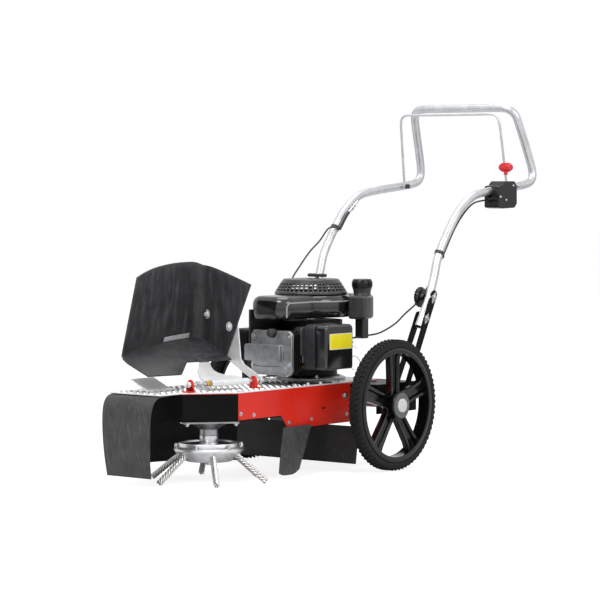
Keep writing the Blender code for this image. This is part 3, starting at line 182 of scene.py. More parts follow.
# Rolled chequer plate: nearly white, with faint scuffs
chequerAluminium = makeFinish("rolled chequer aluminium", "#fafafa", "#ebecec", driftMm=16,
    grainMm=1.6, depthMm=0.01, rough=(0.3, 0.44), metallic=0.2,
    streak={"mm": 3, "stretch": (1, 0.1, 1), "from": 0.6, "strength": 0.18, "colour": "#9a9b9c"})

# The lozenges' tops, worn bright
lozengeAluminium = makeFinish("worn aluminium lozenges", "#f4f4f4", "#e2e3e3", driftMm=12,
    grainMm=1.6, depthMm=0.004, rough=(0.22, 0.34), metallic=1)

# Galvanised arm, strap, bar and washers of the guard: pale, even grey with soft reflections
galvanisedSheet = makeFinish("galvanised steel sheet", "#ebecec", "#dcdddd", driftMm=14, grainMm=2,
    depthMm=0.006, rough=(0.38, 0.5), metallic=0.35)

# Drawn wire of the ropes: bright crests with dark gaps between the strands
drawnWire = makeFinish("drawn steel wire", "#f2f1ef", "#bdbbb8", driftMm=5, grainMm=0.8, depthMm=0.01,
    rough=(0.16, 0.26), metallic=1)

# Heat-proof paint on the cast engine block: soot black, hardly shiny
blockPaint = makeFinish("black engine paint", "#151516", "#0c0c0d", driftMm=20, grainMm=1.4,
    depthMm=0.05, rough=(0.4, 0.55), specular=0.2, dust={"colour": "#403e3b", "amount": 0.04})

# Injection-moulded lever knob: clear red with a soft shine
redPolypropylene = makeFinish("red moulded polypropylene", "#e8333f", "#d3202e", driftMm=14,
    grainMm=0.9, depthMm=0.03, rough=(0.26, 0.36), ior=1.49)

# Cast vinyl film: flat, strong yellow with a slight sheen
yellowFilm = makeFinish("yellow vinyl film", "#fff01a", "#f8e610", driftMm=25, grainMm=2,
    depthMm=0.02, rough=(0.3, 0.38), ior=1.48)

# Hub cap moulded in pale grey: nearly white and dull
greyCap = makeFinish("grey moulded cap", "#dcdcdd", "#cdcdcf", driftMm=10, grainMm=0.8,
    depthMm=0.04, rough=(0.4, 0.52), ior=1.49)

# Moulded hub face: mid grey, dull
hubGrey = makeFinish("grey moulded nylon", "#67686a", "#57585a", driftMm=12, grainMm=0.8,
    depthMm=0.03, rough=(0.36, 0.5))

# Rib over the fan shroud: light silver grey, a painted highlight along its crest
ribHighlightGrey = makeFinish("light grey painted highlight on the shroud rib", "#a2a3a5", "#929395", driftMm=12, grainMm=0.8,
    depthMm=0.01, rough=(0.28, 0.38))

# Machined brass: warm yellow metal with a soft shine
brassFitting = makeFinish("machined brass", "#c9a14a", "#a27f33", driftMm=8, grainMm=1, depthMm=0.03,
    rough=(0.28, 0.4), metallic=1)

# Fan shroud and filter cover, moulded glossier than the rest: deep black that mirrors the lights
glossyPlastic = makeFinish("moulded gloss black polypropylene", "#1a1a1c", "#131315", driftMm=50,
    grainMm=2.4, depthMm=0.01, rough=(0.13, 0.2), specular=0.75, coat=(0.25, 0.1))

# White vinyl border of the yellow plate: plain and clean
whiteFilm = makeFinish("white vinyl film", "#f6f6f4", "#ecece8", driftMm=20, grainMm=2,
    depthMm=0.02, rough=(0.32, 0.4), ior=1.48)

# Acetal collars on the hinge rod: milky and smooth
whitePlastic = makeFinish("white acetal", "#f1f1ee", "#e2e2de", driftMm=8, grainMm=0.9,
    depthMm=0.02, rough=(0.3, 0.42), ior=1.48)

# Extruded cable sheath: soft black with a satin shine
cableSheath = makeFinish("extruded cable sheath", "#232324", "#18181a", driftMm=20, grainMm=0.8,
    depthMm=0.02, rough=(0.34, 0.46))
print("finishes made")

bodyOf = {node: body for body, nodes in frame["record"]["behaviour"]["bodies"].items() for node in nodes}


# Piece helpers: a piece that stands for a node takes that node's body, and the node is hidden
def declare(piece, body, node):
    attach(piece, bodyOf[node] if node else body)
    if node:
        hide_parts(node)
    return piece


def linkPiece(name, mesh, material, angle):
    mesh.materials.clear()
    mesh.materials.append(material)
    mesh.shade_smooth()
    mesh.set_sharp_from_angle(angle=math.radians(angle))
    piece = bpy.data.objects.new(name, mesh)
    bpy.context.collection.objects.link(piece)
    return piece


def toMesh(name, bm):
    mesh = bpy.data.meshes.new(name)
    bm.to_mesh(mesh)
    bm.free()
    return mesh


def closeMesh(name, bm):
    # Joined, facing outward, and moved from the axle's count of Y to the frame's
    bmesh.ops.remove_doubles(bm, verts=bm.verts, dist=1e-6)
    bmesh.ops.recalc_face_normals(bm, faces=bm.faces)
    bmesh.ops.translate(bm, verts=bm.verts, vec=(0, axleShift, 0))
    return toMesh(name, bm)


def breakEdges(piece, width, segments, angle, harden=True):
    edge = piece.modifiers.new("edge", "BEVEL")
    edge.width = width
    edge.segments = segments
    edge.limit_method = "ANGLE"
    edge.angle_limit = math.radians(angle)
    edge.harden_normals = harden


def addWall(piece, thickness, offset=-1, evenly=False):
    wall = piece.modifiers.new("wall", "SOLIDIFY")
    wall.thickness = thickness
    wall.offset = offset
    wall.use_even_offset = evenly


def finishPiece(name, bm, material, body="chassis", node=None, bevel=0.0, angle=35, segments=2):
    piece = linkPiece(name, closeMesh(name, bm), material, angle)
    if bevel:
        breakEdges(piece, bevel, segments, angle)
    return declare(piece, body, node)


def refine(node, material, bevel, angle=30, segments=2):
    # The node's own shape, its triangles merged to whole faces, with its edges broken
    bm = bmesh.new()
    bm.from_mesh(frame["nodes"][node].data)
    bmesh.ops.remove_doubles(bm, verts=bm.verts, dist=2e-6)
    bmesh.ops.dissolve_limit(bm, angle_limit=math.radians(0.6), verts=bm.verts, edges=bm.edges)
    name = f"{node}_finished"
    piece = linkPiece(name, toMesh(name, bm), material, angle)
    breakEdges(piece, bevel, segments, angle)
    declare(piece, None, node)


# Shape helpers
def ray(turn, u=yAxis, v=zAxis):
    return math.cos(turn) * u + math.sin(turn) * v


def arc(radius, first, last, parts, centre=(0, 0)):
    # Points on a circle from one angle to another, both in degrees
    turns = [math.radians(first + (last - first) * k / parts) for k in range(parts + 1)]
    return [(centre[0] + radius * math.cos(t), centre[1] + radius * math.sin(t)) for t in turns]


def helix(start, way, length, radius, turns, perTurn, u, v):
    count = turns * perTurn
    return [start + way * (length * i / count) + radius * ray(2 * math.pi * i / perTurn, u, v)
            for i in range(count + 1)]


def band(sign, near, far):
    # The two ends of a width along X, on the side that sign says
    return sorted((sign * near, sign * far))


def through(points, parts):
    points = [Vector(p) for p in points]
    ends = [2 * points[0] - points[1]] + points + [2 * points[-1] - points[-2]]
    found = []
    for i in range(len(points) - 1):
        a, b, c, d = ends[i : i + 4]
        for j in range(parts):
            t = j / parts
            found.append(0.5 * (2 * b + (c - a) * t + (2 * a - 5 * b + 4 * c - d) * t**2
                                + (3 * b - a - 3 * c + d) * t**3))
    return found + [points[-1]]


def even(points, step):
    lengths = [0.0]
    for a, b in zip(points, points[1:]):
        lengths.append(lengths[-1] + (b - a).length)
    count = max(2, round(lengths[-1] / step))
    found, at = [], 0
    for i in range(count + 1):
        want = lengths[-1] * i / count
        while at < len(points) - 2 and lengths[at + 1] < want:
            at += 1
        found.append(points[at].lerp(points[at + 1], (want - lengths[at]) / (lengths[at + 1] - lengths[at])))
    return found


def rounded(corners, radii, parts=6):
    found = []
    for i, (corner, radius) in enumerate(zip(corners, radii)):
        here = Vector(corner)
        back = (Vector(corners[i - 1]) - here).normalized()
        ahead = (Vector(corners[(i + 1) % len(corners)]) - here).normalized()
        if radius <= 0:
            found.append((here.x, here.y))
            continue
        half = back.angle(ahead) / 2
        centre = here + (back + ahead).normalized() * (radius / math.sin(half))
        first = here + back * (radius / math.tan(half)) - centre
        last = here + ahead * (radius / math.tan(half)) - centre
        for k in range(parts + 1):
            mixed = first.lerp(last, k / parts).normalized() * radius
            found.append(((centre + mixed).x, (centre + mixed).y))
    return found


def rect(aLow, bLow, aHigh, bHigh):
    return [(aLow, bLow), (aHigh, bLow), (aHigh, bHigh), (aLow, bHigh)]


def roundRect(aLow, bLow, aHigh, bHigh, radius):
    return rounded(rect(aLow, bLow, aHigh, bHigh), [radius] * 4)


def ringProfile(inner, outer, low, high):
    return [(inner, low), (outer, low), (outer, high), (inner, high)]


def mirrored(profile):
    # A profile drawn up to its middle, then back on the other side
    return profile + [(r, -x) for r, x in reversed(profile) if abs(x) > 1e-6]


def bothHalves(half, middle):
    return half + [middle] + [(-x, y, z) for x, y, z in reversed(half)]


def bridge(bm, lower, upper, every=1):
    # Faces between two closed rings; with every=3, two of three places stay open
    for i in range(0, len(lower), every):
        k = (i + 1) % len(lower)
        face = list(dict.fromkeys((lower[i], lower[k], upper[k], upper[i])))
        if len(face) > 2:
            bm.faces.new(face)


def addSolid(bm, outline, low, high, origin, u, v):
    w = u.cross(v)
    start = Vector(origin) + w * low
    corners = [bm.verts.new(start + u * a + v * b) for a, b in outline]
    moved = bmesh.ops.extrude_face_region(bm, geom=[bm.faces.new(corners)])["geom"]
    tops = [item for item in moved if isinstance(item, bmesh.types.BMVert)]
    bmesh.ops.translate(bm, verts=tops, vec=w * (high - low))


def addLathe(bm, profile, centre, axis, steps):
    axis = Vector(axis).normalized()
    side = (zAxis.cross(axis) if abs(axis.z) < 0.9 else xAxis).normalized()
    other = axis.cross(side)
    rings = []
    for radius, height in profile:
        base = Vector(centre) + axis * height
        if radius < 1e-7:
            rings.append([bm.verts.new(base)] * steps)
        else:
            turns = (2 * math.pi * i / steps for i in range(steps))
            rings.append([bm.verts.new(base + radius * ray(t, side, other)) for t in turns])
    closed = profile[0][0] > 1e-7 and profile[-1][0] > 1e-7
    for j in range(len(rings) if closed else len(rings) - 1):
        bridge(bm, rings[j], rings[(j + 1) % len(rings)])


def addTube(bm, points, radius, sides, bore=None):
    points = [Vector(p) for p in points]
    tangent = (points[1] - points[0]).normalized()
    side = tangent.orthogonal().normalized()
    rings = []
    for i, point in enumerate(points):
        new = (points[min(i + 1, len(points) - 1)] - points[max(i - 1, 0)]).normalized()
        side = (tangent.rotation_difference(new) @ side).normalized()
        tangent = new
        around = [ray(2 * math.pi * k / sides, side, tangent.cross(side)) for k in range(sides)]
        rings.append([[bm.verts.new(point + r * way) for way in around] for r in (radius, bore) if r])
    for lower, upper in zip(rings, rings[1:]):
        for low, high in zip(lower, upper):
            bridge(bm, low, high)
    for end in (rings[0], rings[-1]):
        if bore:
            bridge(bm, *end)
        else:
            bm.faces.new(end[0])


def prisms(name, parts, material, view=fromAbove, **more):
    # Each part is (outline, low, high)
    bm = bmesh.new()
    for outline, low, high in parts:
        addSolid(bm, outline, low, high, *view)
    finishPiece(name, bm, material, **more)


def turnings(name, parts, material, **more):
    # Each part is (profile of radius and height, centre, axis, steps)
    bm = bmesh.new()
    for part in parts:
        addLathe(bm, *part)
    finishPiece(name, bm, material, **more)


def lathe(name, profile, centre, material, axis=zAxis, steps=72, **more):
    turnings(name, [(profile, centre, axis, steps)], material, **more)


def tubes(name, routes, radius, sides, material, bore=None, **more):
    bm = bmesh.new()
    for route in routes:
        addTube(bm, route, radius, sides, bore)
    finishPiece(name, bm, material, **more)


# Geometry Nodes: each tree puts one shape on every seat of a mesh of loose points, turned as the seat says
socketKinds = {float: "NodeSocketFloat", int: "NodeSocketInt", tuple: "NodeSocketVector"}


def newTree(name, sizes):
    tree = bpy.data.node_groups.new(name, "GeometryNodeTree")
    tree.interface.new_socket("Geometry", in_out="INPUT", socket_type="NodeSocketGeometry")
    for label, value in sizes.items():
        kind = socketKinds[type(value)]
        tree.interface.new_socket(label, in_out="INPUT", socket_type=kind).default_value = value
    tree.interface.new_socket("Material", in_out="INPUT", socket_type="NodeSocketMaterial")
    tree.interface.new_socket("Geometry", in_out="OUTPUT", socket_type="NodeSocketGeometry")
    return tree, addNode(tree, "NodeGroupInput").outputs


def seatVector(tree, label):
    return addNode(tree, "GeometryNodeInputNamedAttribute", {"Name": label}, data_type="FLOAT_VECTOR")


def facingAim(tree):
    facing = seatVector(tree, "facing")
    return addNode(tree, "FunctionNodeAlignRotationToVector", {"Vector": facing}, axis="Z")


def lifted(tree, shape, height):
    up = addNode(tree, "ShaderNodeCombineXYZ", {2: height})
    return addNode(tree, "GeometryNodeTransform", {0: shape, "Translation": up})


def joined(tree, shapes):
    whole = addNode(tree, "GeometryNodeJoinGeometry")
    for shape in shapes:
        tree.links.new(shape.outputs[0], whole.inputs[0])
    return whole


def onSeats(tree, size, shape, aim):
    points = addNode(tree, "GeometryNodeMeshToPoints", {0: size["Geometry"]})
    placed = addNode(tree, "GeometryNodeInstanceOnPoints", {"Points": points, "Instance": shape, "Rotation": aim})
    real = addNode(tree, "GeometryNodeRealizeInstances", {0: placed})
    coated = addNode(tree, "GeometryNodeSetMaterial", {"Geometry": real, "Material": size["Material"]})
    addNode(tree, "NodeGroupOutput", {0: coated})
    return tree


def seatMesh(name, places, ways):
    # Loose points, with one vector attribute for each label in ways
    mesh = bpy.data.meshes.new(f"{name}_seats")
    mesh.from_pydata([(x, y + axleShift, z) for x, y, z in places], [], [])
    for label, vectors in ways.items():
        attribute = mesh.attributes.new(label, "FLOAT_VECTOR", "POINT")
        for item, way in zip(attribute.data, vectors):
            item.vector = Vector(way).normalized()
    return mesh


def growPiece(name, source, tree, values, material, body, node=None, angle=35):
    # Runs the tree on the seats, keeps the result as a plain mesh, and drops the modifier
    carrier = bpy.data.objects.new(f"{name}_carrier", source)
    bpy.context.collection.objects.link(carrier)
    grow = carrier.modifiers.new("grow", "NODES")
    grow.node_group = tree
    values = {**values, "Material": material}
    for socket in tree.interface.items_tree:
        if socket.item_type == "SOCKET" and socket.in_out == "INPUT" and socket.name in values:
            grow[socket.identifier] = values[socket.name]
    bpy.context.view_layer.update()
    carrier.update_tag()
    mesh = bpy.data.meshes.new_from_object(carrier.evaluated_get(bpy.context.evaluated_depsgraph_get()))
    carrier.modifiers.remove(grow)
    bpy.data.objects.remove(carrier)
    mesh.name = name
    declare(linkPiece(name, mesh, material, angle), body, node)


# Fasteners: a head with its shank, on a washer
def fastenerTree():
    tree, size = newTree("fasteners", {"Head Radius": 0.006, "Head Height": 0.004, "Washer Radius": 0.009,
                                       "Washer Height": 0.0012, "Sides": 6})
    radius, height, washerHeight = size["Head Radius"], size["Head Height"], size["Washer Height"]
    head = addNode(tree, "GeometryNodeMeshCone", {
        "Vertices": size["Sides"], "Radius Top": maths(tree, "MULTIPLY", radius, 0.86), "Radius Bottom": radius,
        "Depth": height})
    shank = addNode(tree, "GeometryNodeMeshCylinder", {
        "Vertices": 16, "Radius": maths(tree, "MULTIPLY", radius, 0.5),
        "Depth": maths(tree, "MULTIPLY", height, 1.5)})
    washer = addNode(tree, "GeometryNodeMeshCylinder", {
        "Vertices": 28, "Radius": size["Washer Radius"], "Depth": washerHeight})
    shankUp = maths(tree, "ADD", maths(tree, "MULTIPLY", height, 0.5), washerHeight)
    washerUp = maths(tree, "MULTIPLY", washerHeight, 0.5)
    whole = joined(tree, [lifted(tree, head, washerHeight), lifted(tree, shank, shankUp),
                          lifted(tree, washer, washerUp)])
    return onSeats(tree, size, whole, facingAim(tree))


boltNodes = fastenerTree()


def fasteners(name, places, facing, size, body="chassis", sides=6, material=brightZinc):
    # facing is one way for all, or one for each; size is the head's radius and height and the washer's radius
    ways = facing if isinstance(facing, list) else [facing] * len(places)
    values = {"Head Radius": size[0], "Head Height": size[1], "Washer Radius": size[2], "Washer Height": 0.0012,
              "Sides": sides}
    growPiece(name, seatMesh(name, places, {"facing": ways}), boltNodes, values, material, body)


# Stamps: one tapered block or bump on each seat, its height along facing and its length along the other way
def stampTree():
    tree, size = newTree("stamps", {"Sides": 4, "Taper": 0.8, "Turn": (0, 0, 0), "Size": (0.01, 0.01, 0.01)})
    block = addNode(tree, "GeometryNodeMeshCone", {
        "Vertices": size["Sides"], "Radius Top": size["Taper"], "Radius Bottom": 1.0, "Depth": 1.0})
    turned = addNode(tree, "GeometryNodeTransform", {0: block, "Rotation": size["Turn"]})
    scaled = addNode(tree, "GeometryNodeTransform", {0: turned, "Scale": size["Size"]})
    aim = addNode(tree, "FunctionNodeAxesToRotation", {0: seatVector(tree, "facing"), 1: seatVector(tree, "along")},
                  primary_axis="Z", secondary_axis="X")
    return onSeats(tree, size, scaled, aim)


stampNodes = stampTree()


def stamps(name, seats, size, material, body="chassis", sides=4, taper=0.8):
    # seats are (place, facing, along); a block of four sides is turned so that its sides lie square
    places, facing, along = zip(*seats)
    half, turn = (math.sqrt(0.5), math.pi / 4) if sides == 4 else (0.5, 0)
    long, wide, high = size
    values = {"Sides": sides, "Taper": taper, "Turn": (0, 0, turn), "Size": (long * half, wide * half, high)}
    growPiece(name, seatMesh(name, places, {"facing": facing, "along": along}), stampNodes, values, material, body)


def ribsRound(name, centre, radius, count, size, material, body, taper, sides=4, u=yAxis, v=zAxis):
    rays = [ray(2 * math.pi * k / count, u, v) for k in range(count)]
    stamps(name, [(centre + out * radius, out, u.cross(v)) for out in rays], size, material, body, sides, taper)


# Ropes: strands of lobed section wound round a core, one rope on each seat
def ropeTree():
    tree, size = newTree("wire ropes", {"Strands": 6, "Turns": 2.0, "Length": 0.15, "Rope Radius": 0.0095})
    strandR = maths(tree, "DIVIDE", size["Rope Radius"], 3.0)
    circleR, lobeR, crestR = (maths(tree, "MULTIPLY", strandR, share) for share in (2.16, 0.76, 0.82))
    lobes = addNode(tree, "GeometryNodeCurveStar", {"Points": 6, "Inner Radius": lobeR, "Outer Radius": crestR})
    wound = addNode(tree, "GeometryNodeCurveSpiral", {
        "Resolution": 22, "Rotations": size["Turns"], "Start Radius": circleR, "End Radius": circleR,
        "Height": size["Length"]})
    share = addNode(tree, "GeometryNodeSplineParameter").outputs["Factor"]
    twisted = addNode(tree, "GeometryNodeSetCurveTilt", {
        "Curve": wound, "Tilt": maths(tree, "MULTIPLY", share, 22.0)})
    strand = addNode(tree, "GeometryNodeCurveToMesh", {
        "Curve": twisted, "Profile Curve": lobes, "Fill Caps": True})
    ring = addNode(tree, "GeometryNodeMeshLine", {"Count": size["Strands"], "Offset": (0, 0, 0)})
    step = maths(tree, "DIVIDE", 2 * math.pi, size["Strands"])
    turn = maths(tree, "MULTIPLY", addNode(tree, "GeometryNodeInputIndex"), step)
    about = addNode(tree, "ShaderNodeCombineXYZ", {2: turn})
    around = addNode(tree, "GeometryNodeInstanceOnPoints", {
        "Points": ring, "Instance": strand, "Rotation": about})
    core = addNode(tree, "GeometryNodeMeshCylinder", {"Vertices": 12, "Radius": strandR, "Depth": size["Length"]})
    middle = maths(tree, "MULTIPLY", size["Length"], 0.5)
    whole = joined(tree, [around, lifted(tree, core, middle)])
    return onSeats(tree, size, whole, facingAim(tree))


ropeNodes = ropeTree()

# Camera at the photograph's angle, level across, tilted a little down
camera = bpy.data.objects.new("camera", bpy.data.cameras.new("camera"))
bpy.context.collection.objects.link(camera)
camera.location = (5.221, -6.546 + axleShift, 0.9145)
camera.rotation_euler = (math.radians(87.24), 0, math.radians(38.98))
camera.data.lens = 162
camera.data.sensor_width = 36
camera.data.clip_end = 100
bpy.context.scene.camera = camera

# Handle tube: one bent tube with open lower ends
tube = {"radius": 0.0135, "bore": 0.0115, "step": 0.006}
halfRoute = [(0.229, y, z) for y, z in (
    (0.2105, 0.427), (0.2635, 0.516), (0.2905, 0.58), (0.312, 0.642), (0.356, 0.707), (0.42, 0.78),
    (0.498, 0.829), (0.594, 0.846), (0.705, 0.857), (0.79, 0.866), (0.8275, 0.879))]
halfRoute += [(0.2275, 0.839, 0.908), (0.222, 0.824, 0.96), (0.212, 0.79, 1.05), (0.204, 0.773, 1.093),
              (0.183, 0.76, 1.1125), (0.15, 0.757, 1.1168), (0.075, 0.757, 1.117)]
tubePoints = even(through(bothHalves(halfRoute, (0, 0.757, 1.117)), 10), tube["step"])
tubes("handleTube", [tubePoints], tube["radius"], 28, tubeZinc, tube["bore"], node="handle_tube")


def alongTube(y, sign):
    side = sorted((p for p in tubePoints if p.x * sign > 0.22 and p.z < 0.87), key=lambda p: p.y)
    for a, b in zip(side, side[1:]):
        if a.y <= y <= b.y:
            return a.lerp(b, (y - a.y) / (b.y - a.y)), (b - a).normalized()


# Control cables, from the handle to the engine and to the belt arm
cable = {"radius": 0.0028, "gap": 0.0056, "step": 0.008}
cableOffset = tube["radius"] + cable["radius"] + cable["gap"]


def besideTube(y, sign):
    # The cables lie behind the near tube and inside the far one
    centre, way = alongTube(y, sign)
    return centre + (Vector((0, way.z, -way.y)) if sign > 0 else xAxis) * cableOffset


def controlCable(name, node, route):
    bm = bmesh.new()
    addTube(bm, even(through(route, 10), cable["step"]), cable["radius"], 12)
    piece = linkPiece(name, closeMesh(name, bm), cableSheath, 180)
    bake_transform(piece)
    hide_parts(node)


nearRoute = [(0.229, 0.5916, 0.813), (0.229, 0.57, 0.817)]
nearRoute += [besideTube(y, 1) for y in (0.5, 0.45, 0.4, 0.36, 0.322)]
nearRoute += [(0.21, 0.3215, 0.595), (0.192, 0.311, 0.55), (0.172, 0.302, 0.515),
              (0.156, 0.29, 0.49), (0.142, 0.255, 0.462), (0.137, 0.21, 0.4325),
              (0.132, 0.14, 0.408), (0.128, 0.0842, 0.402), (0.127, 0.045, 0.399),
              (0.1235, 0.012, 0.3975), (0.109, 0.01, 0.3975)]
farRoute = [besideTube(y, -1) for y in (0.465, 0.43, 0.4, 0.372)]
farRoute += [(-0.206, 0.3113, 0.7267), (-0.195, 0.247, 0.686), (-0.18, 0.1767, 0.6524),
             (-0.165, 0.1073, 0.608), (-0.156, 0.0588, 0.57), (-0.154, 0.035, 0.515),
             (-0.154, 0.03, 0.42), (-0.145, 0.035, 0.33), (-0.13, 0.045, 0.285),
             (-0.125, 0.048, 0.2647)]
controlCable("throttleCable", "throttle_cable", nearRoute)
controlCable("clutchCable", "clutch_cable", farRoute)
print("handle tube and cables made")

# Sheet metal and castings that keep the frame's own shapes, with their edges broken:
# node, finish, bevel and, where they aren't the usual ones, the angle and the segments
keptShapes = [
    ("chassis_tray", redEnamel, 0.0012), ("front_face_plate", blackPowderCoat, 0.0006),
    ("front_edge_plate", blackPowderCoat, 0.0006), ("belly_plate", blackPowderCoat, 0.0008),
    ("axle_carrier", blackPowderCoat, 0.0014), ("deck_plate", chequerAluminium, 0.0008),
    ("hinge_tab_front", redEnamel, 0.0005), ("hinge_tab_rear", redEnamel, 0.0005),
    ("bearing_housing", castAluminium, 0.001, 24), ("guard_arm", galvanisedSheet, 0.0007),
    ("guard_strap", galvanisedSheet, 0.0007), ("engine_block", blockPaint, 0.0008, 24),
    ("head_cover", castAluminium, 0.0018), ("muffler", blackPowderCoat, 0.0008, 20),
    ("filter_base", mouldedPlastic, 0.001), ("control_box", rimPlastic, 0.0012, 20, 3),
    ("throttle_lever", brightZinc, 0.0003), ("tension_arm", brightZinc, 0.0005), ("drive_belt", rubberSheet, 0.001)]
for node, *look in keptShapes:
    refine(node, *look)
# The two black plates over the tray's front and this strip at their corner make the whole front under the deck's
# overhang black
cornerStrip = [(0.043, -0.6893), (0.043, -0.6908), (0.0446, -0.6908), (0.0462, -0.6893), (0.0452, -0.6885)]
prisms("frontCorner", [(cornerStrip, 0.1855, 0.262)], blackPowderCoat)
print("sheet metal and castings finished")

# Handle brackets: a long outer bar and a short inner one each side
bar = {"half": 0.0135, "thick": 0.0048, "outer": 0.243, "inner": 0.2102, "notch": 0.0744, "notchRadius": 0.0047}
pivot = Vector((0, 0.2255, 0.452))
clamp = Vector((0, 0.2635, 0.516))
barWay = (clamp - pivot).normalized()
barAcross = Vector((0, -barWay.z, barWay.y))


def onBar(at, along, across):
    return at.y + barWay.y * along + barAcross.y * across, at.z + barWay.z * along + barAcross.z * across


def barOutline(low, high, foot, notched):
    half = bar["half"]
    outline = [(low, -half)] + arc(half, -90, 90, 18, (high - half, 0))
    if notched:
        outline += [(0.0791, half)] + arc(bar["notchRadius"], 0, -180, 9, (bar["notch"], 0)) + [(0.0684, half)]
    points = [onBar(pivot, a, b) for a, b in outline + [(low, half)]]
    return [(points[0][0], foot)] + points[1:-1] + [(points[-1][0], foot)]


for side, sign in bothSides:
    prisms(f"handleBracket{side.title()}", [
        (barOutline(-0.235, 0.0985, 0.205, True), *band(sign, bar["outer"], bar["outer"] + bar["thick"])),
        (barOutline(-0.205, 0.0225, 0.2608, False), *band(sign, bar["inner"], bar["inner"] + bar["thick"]))],
        blackPowderCoat, fromSide, node=f"handle_bracket_{side}", bevel=0.0008)
print("handle brackets made")


# Rubber: sheets through rows of points, given their thickness evenly to both sides
def sheet(name, bm, thickness, material, node, **more):
    piece = finishPiece(name, bm, material, node=node, **more)
    addWall(piece, thickness, 0, True)
    breakEdges(piece, 0.0006, 2, 50, False)


def rubberPiece(name, rows, thickness, node, material=rubberSheet):
    bm = bmesh.new()
    grid = [[bm.verts.new(p) for p in row] for row in rows]
    for low, high in zip(grid, grid[1:]):
        for i in range(len(low) - 1):
            bm.faces.new((low[i], low[i + 1], high[i + 1], high[i]))
    sheet(name, bm, thickness, material, node)


flapProfile = through([(0, -0.742, 0.2613), (0, -0.772, 0.2613), (0, -0.797, 0.254), (0, -0.813, 0.232),
                       (0, -0.8198, 0.195), (0, -0.8212, 0.14), (0, -0.817, 0.08), (0, -0.809, 0.026)], 6)
flapRows = []
for point in flapProfile:
    drop = (0.26 - point.z) / 0.24
    left, right = -0.155 + 0.012 * drop, 0.038 - 0.01 * drop
    flapRows.append([(left + (right - left) * k / 10, point.y, point.z) for k in range(11)])
rubberPiece("frontFlap", flapRows, 0.0036, "front_flap")

skirtPlan = arc(0.27, 113, 172, 40, (0.107, -0.643))
skirtRows = [[(x, y, height) for x, y in skirtPlan] for height in (0.1812, 0.15, 0.115, 0.08, 0.045)]
# The brush skirt's darker rubber is painted shade under the tray
rubberPiece("brushSkirt", skirtRows, 0.004, "brush_skirt", shadedSkirtRubber)

rearProfile = through([(0, -0.14, 0.1425), (0, -0.14, 0.115), (0, -0.152, 0.03)], 6)
rearRows = [[(-0.262 + 0.0524 * k, p.y, p.z) for k in range(11)] for p in rearProfile]
# The rear skirt's darker rubber is painted shade under the tray
rubberPiece("rearSkirt", rearRows, 0.004, "rear_skirt", shadedSkirtRubber)

sideRows = []
for k in range(21):
    share = k / 20
    top = Vector((0.1545, -0.362 + 0.13 * share, 0.15))
    middle = Vector((0.168, -0.392 + 0.115 * share, 0.085))
    foot = Vector((0.198, -0.436 + 0.096 * share, 0.014 + 0.012 * (2 * abs(share - 0.45)) ** 3))
    sideRows.append([top.lerp(middle, j / 6) for j in range(6)] + [middle.lerp(foot, j / 6) for j in range(7)])
rubberPiece("sideFlap", sideRows, 0.004, "side_flap")

# Guard hood: a plate bent up into a leaning skirt along its outer edge
hingeAt = Vector((0.055, -0.6, 0.29))
hingeH = Vector((0.198, 0.98, 0.0)).normalized()
hingeN = Vector((hingeH.y, -hingeH.x, 0.0))
hoodTurn = math.radians(157)
hoodC = math.cos(hoodTurn) * hingeN + math.sin(hoodTurn) * zAxis
hoodS = math.sin(hoodTurn) * hingeN - math.cos(hoodTurn) * zAxis


def onHood(h, c, s):
    return hingeAt + hingeH * h + hoodC * c + hoodS * s


hoodRoute = [(-0.165, 0.205), (-0.12, 0.226), (-0.06, 0.25), (0.0, 0.268), (0.06, 0.283), (0.12, 0.294),
             (0.15, 0.2985)]
hoodCorner = [(0.15 + 0.045 * math.sin(a), 0.256 + 0.043 * math.cos(a))
              for a in (math.radians(20 + 70 * k / 4) for k in range(5))]
hoodEdge = hoodRoute + hoodCorner + [(0.1955, 0.232), (0.196, 0.2), (0.1965, 0.166)]
hoodInner = [(0.1965, 0.14), (0.03, 0.14), (0.026, 0.136), (-0.038, 0.069), (-0.044, 0.065), (-0.165, 0.065),
             (-0.18, 0.15), (-0.178, 0.18)]
hood = {"parts": 5, "levels": 14, "cornerAt": 9, "wall": 0.0045}
fineEdge = [(p.x, p.y) for p in through([(h, c, 0) for h, c in hoodEdge], hood["parts"])]
lengths = [0.0]
for (h0, c0), (h1, c1) in zip(fineEdge, fineEdge[1:]):
    lengths.append(lengths[-1] + math.hypot(h1 - h0, c1 - c0))
turnAt = lengths[hood["cornerAt"] * hood["parts"]]
bm = bmesh.new()
edgeVerts = [bm.verts.new(onHood(h, c, 0)) for h, c in fineEdge]
bm.faces.new(edgeVerts + [bm.verts.new(onHood(h, c, 0)) for h, c in hoodInner])
columns = []
for foot, (h, c), length in zip(edgeVerts, fineEdge, lengths):
    if length <= turnAt:
        share = length / turnAt
        lean, top = 0.02 + 0.064 * share, 0.243 - 0.0325 * share**2
    else:
        share = (length - turnAt) / (lengths[-1] - turnAt)
        lean, top = 0.084 - 0.108 * share, 0.2105 + 0.0375 * share**0.8
    parts = [k / hood["levels"] for k in range(1, hood["levels"] + 1)]
    columns.append([foot] + [bm.verts.new(onHood(h, c + lean * part, top * part)) for part in parts])
for a, b in zip(columns, columns[1:]):
    for k in range(hood["levels"]):
        bm.faces.new((a[k], b[k], b[k + 1], a[k + 1]))
sheet("guardHood", bm, hood["wall"], hoodRubber, "guard_hood", angle=75)


def edgeAt(h):
    for (h0, c0), (h1, c1) in zip(fineEdge, fineEdge[1:]):
        if h0 <= h <= h1:
            return c0 + (c1 - c0) * (h - h0) / (h1 - h0)


barPlan = [(h, edgeAt(h) - 0.004) for h in (0.03, 0.06, 0.1, 0.12, 0.14)]
barPlan += [(h, c - 0.003) for h, c in reversed(barPlan)]
prisms("guardBar", [(barPlan, 0.0036, 0.018)], galvanisedSheet, (hingeAt, hingeH, hoodC), node="guard_bar",
       bevel=0.0005)
print("rubber and guard bar made")

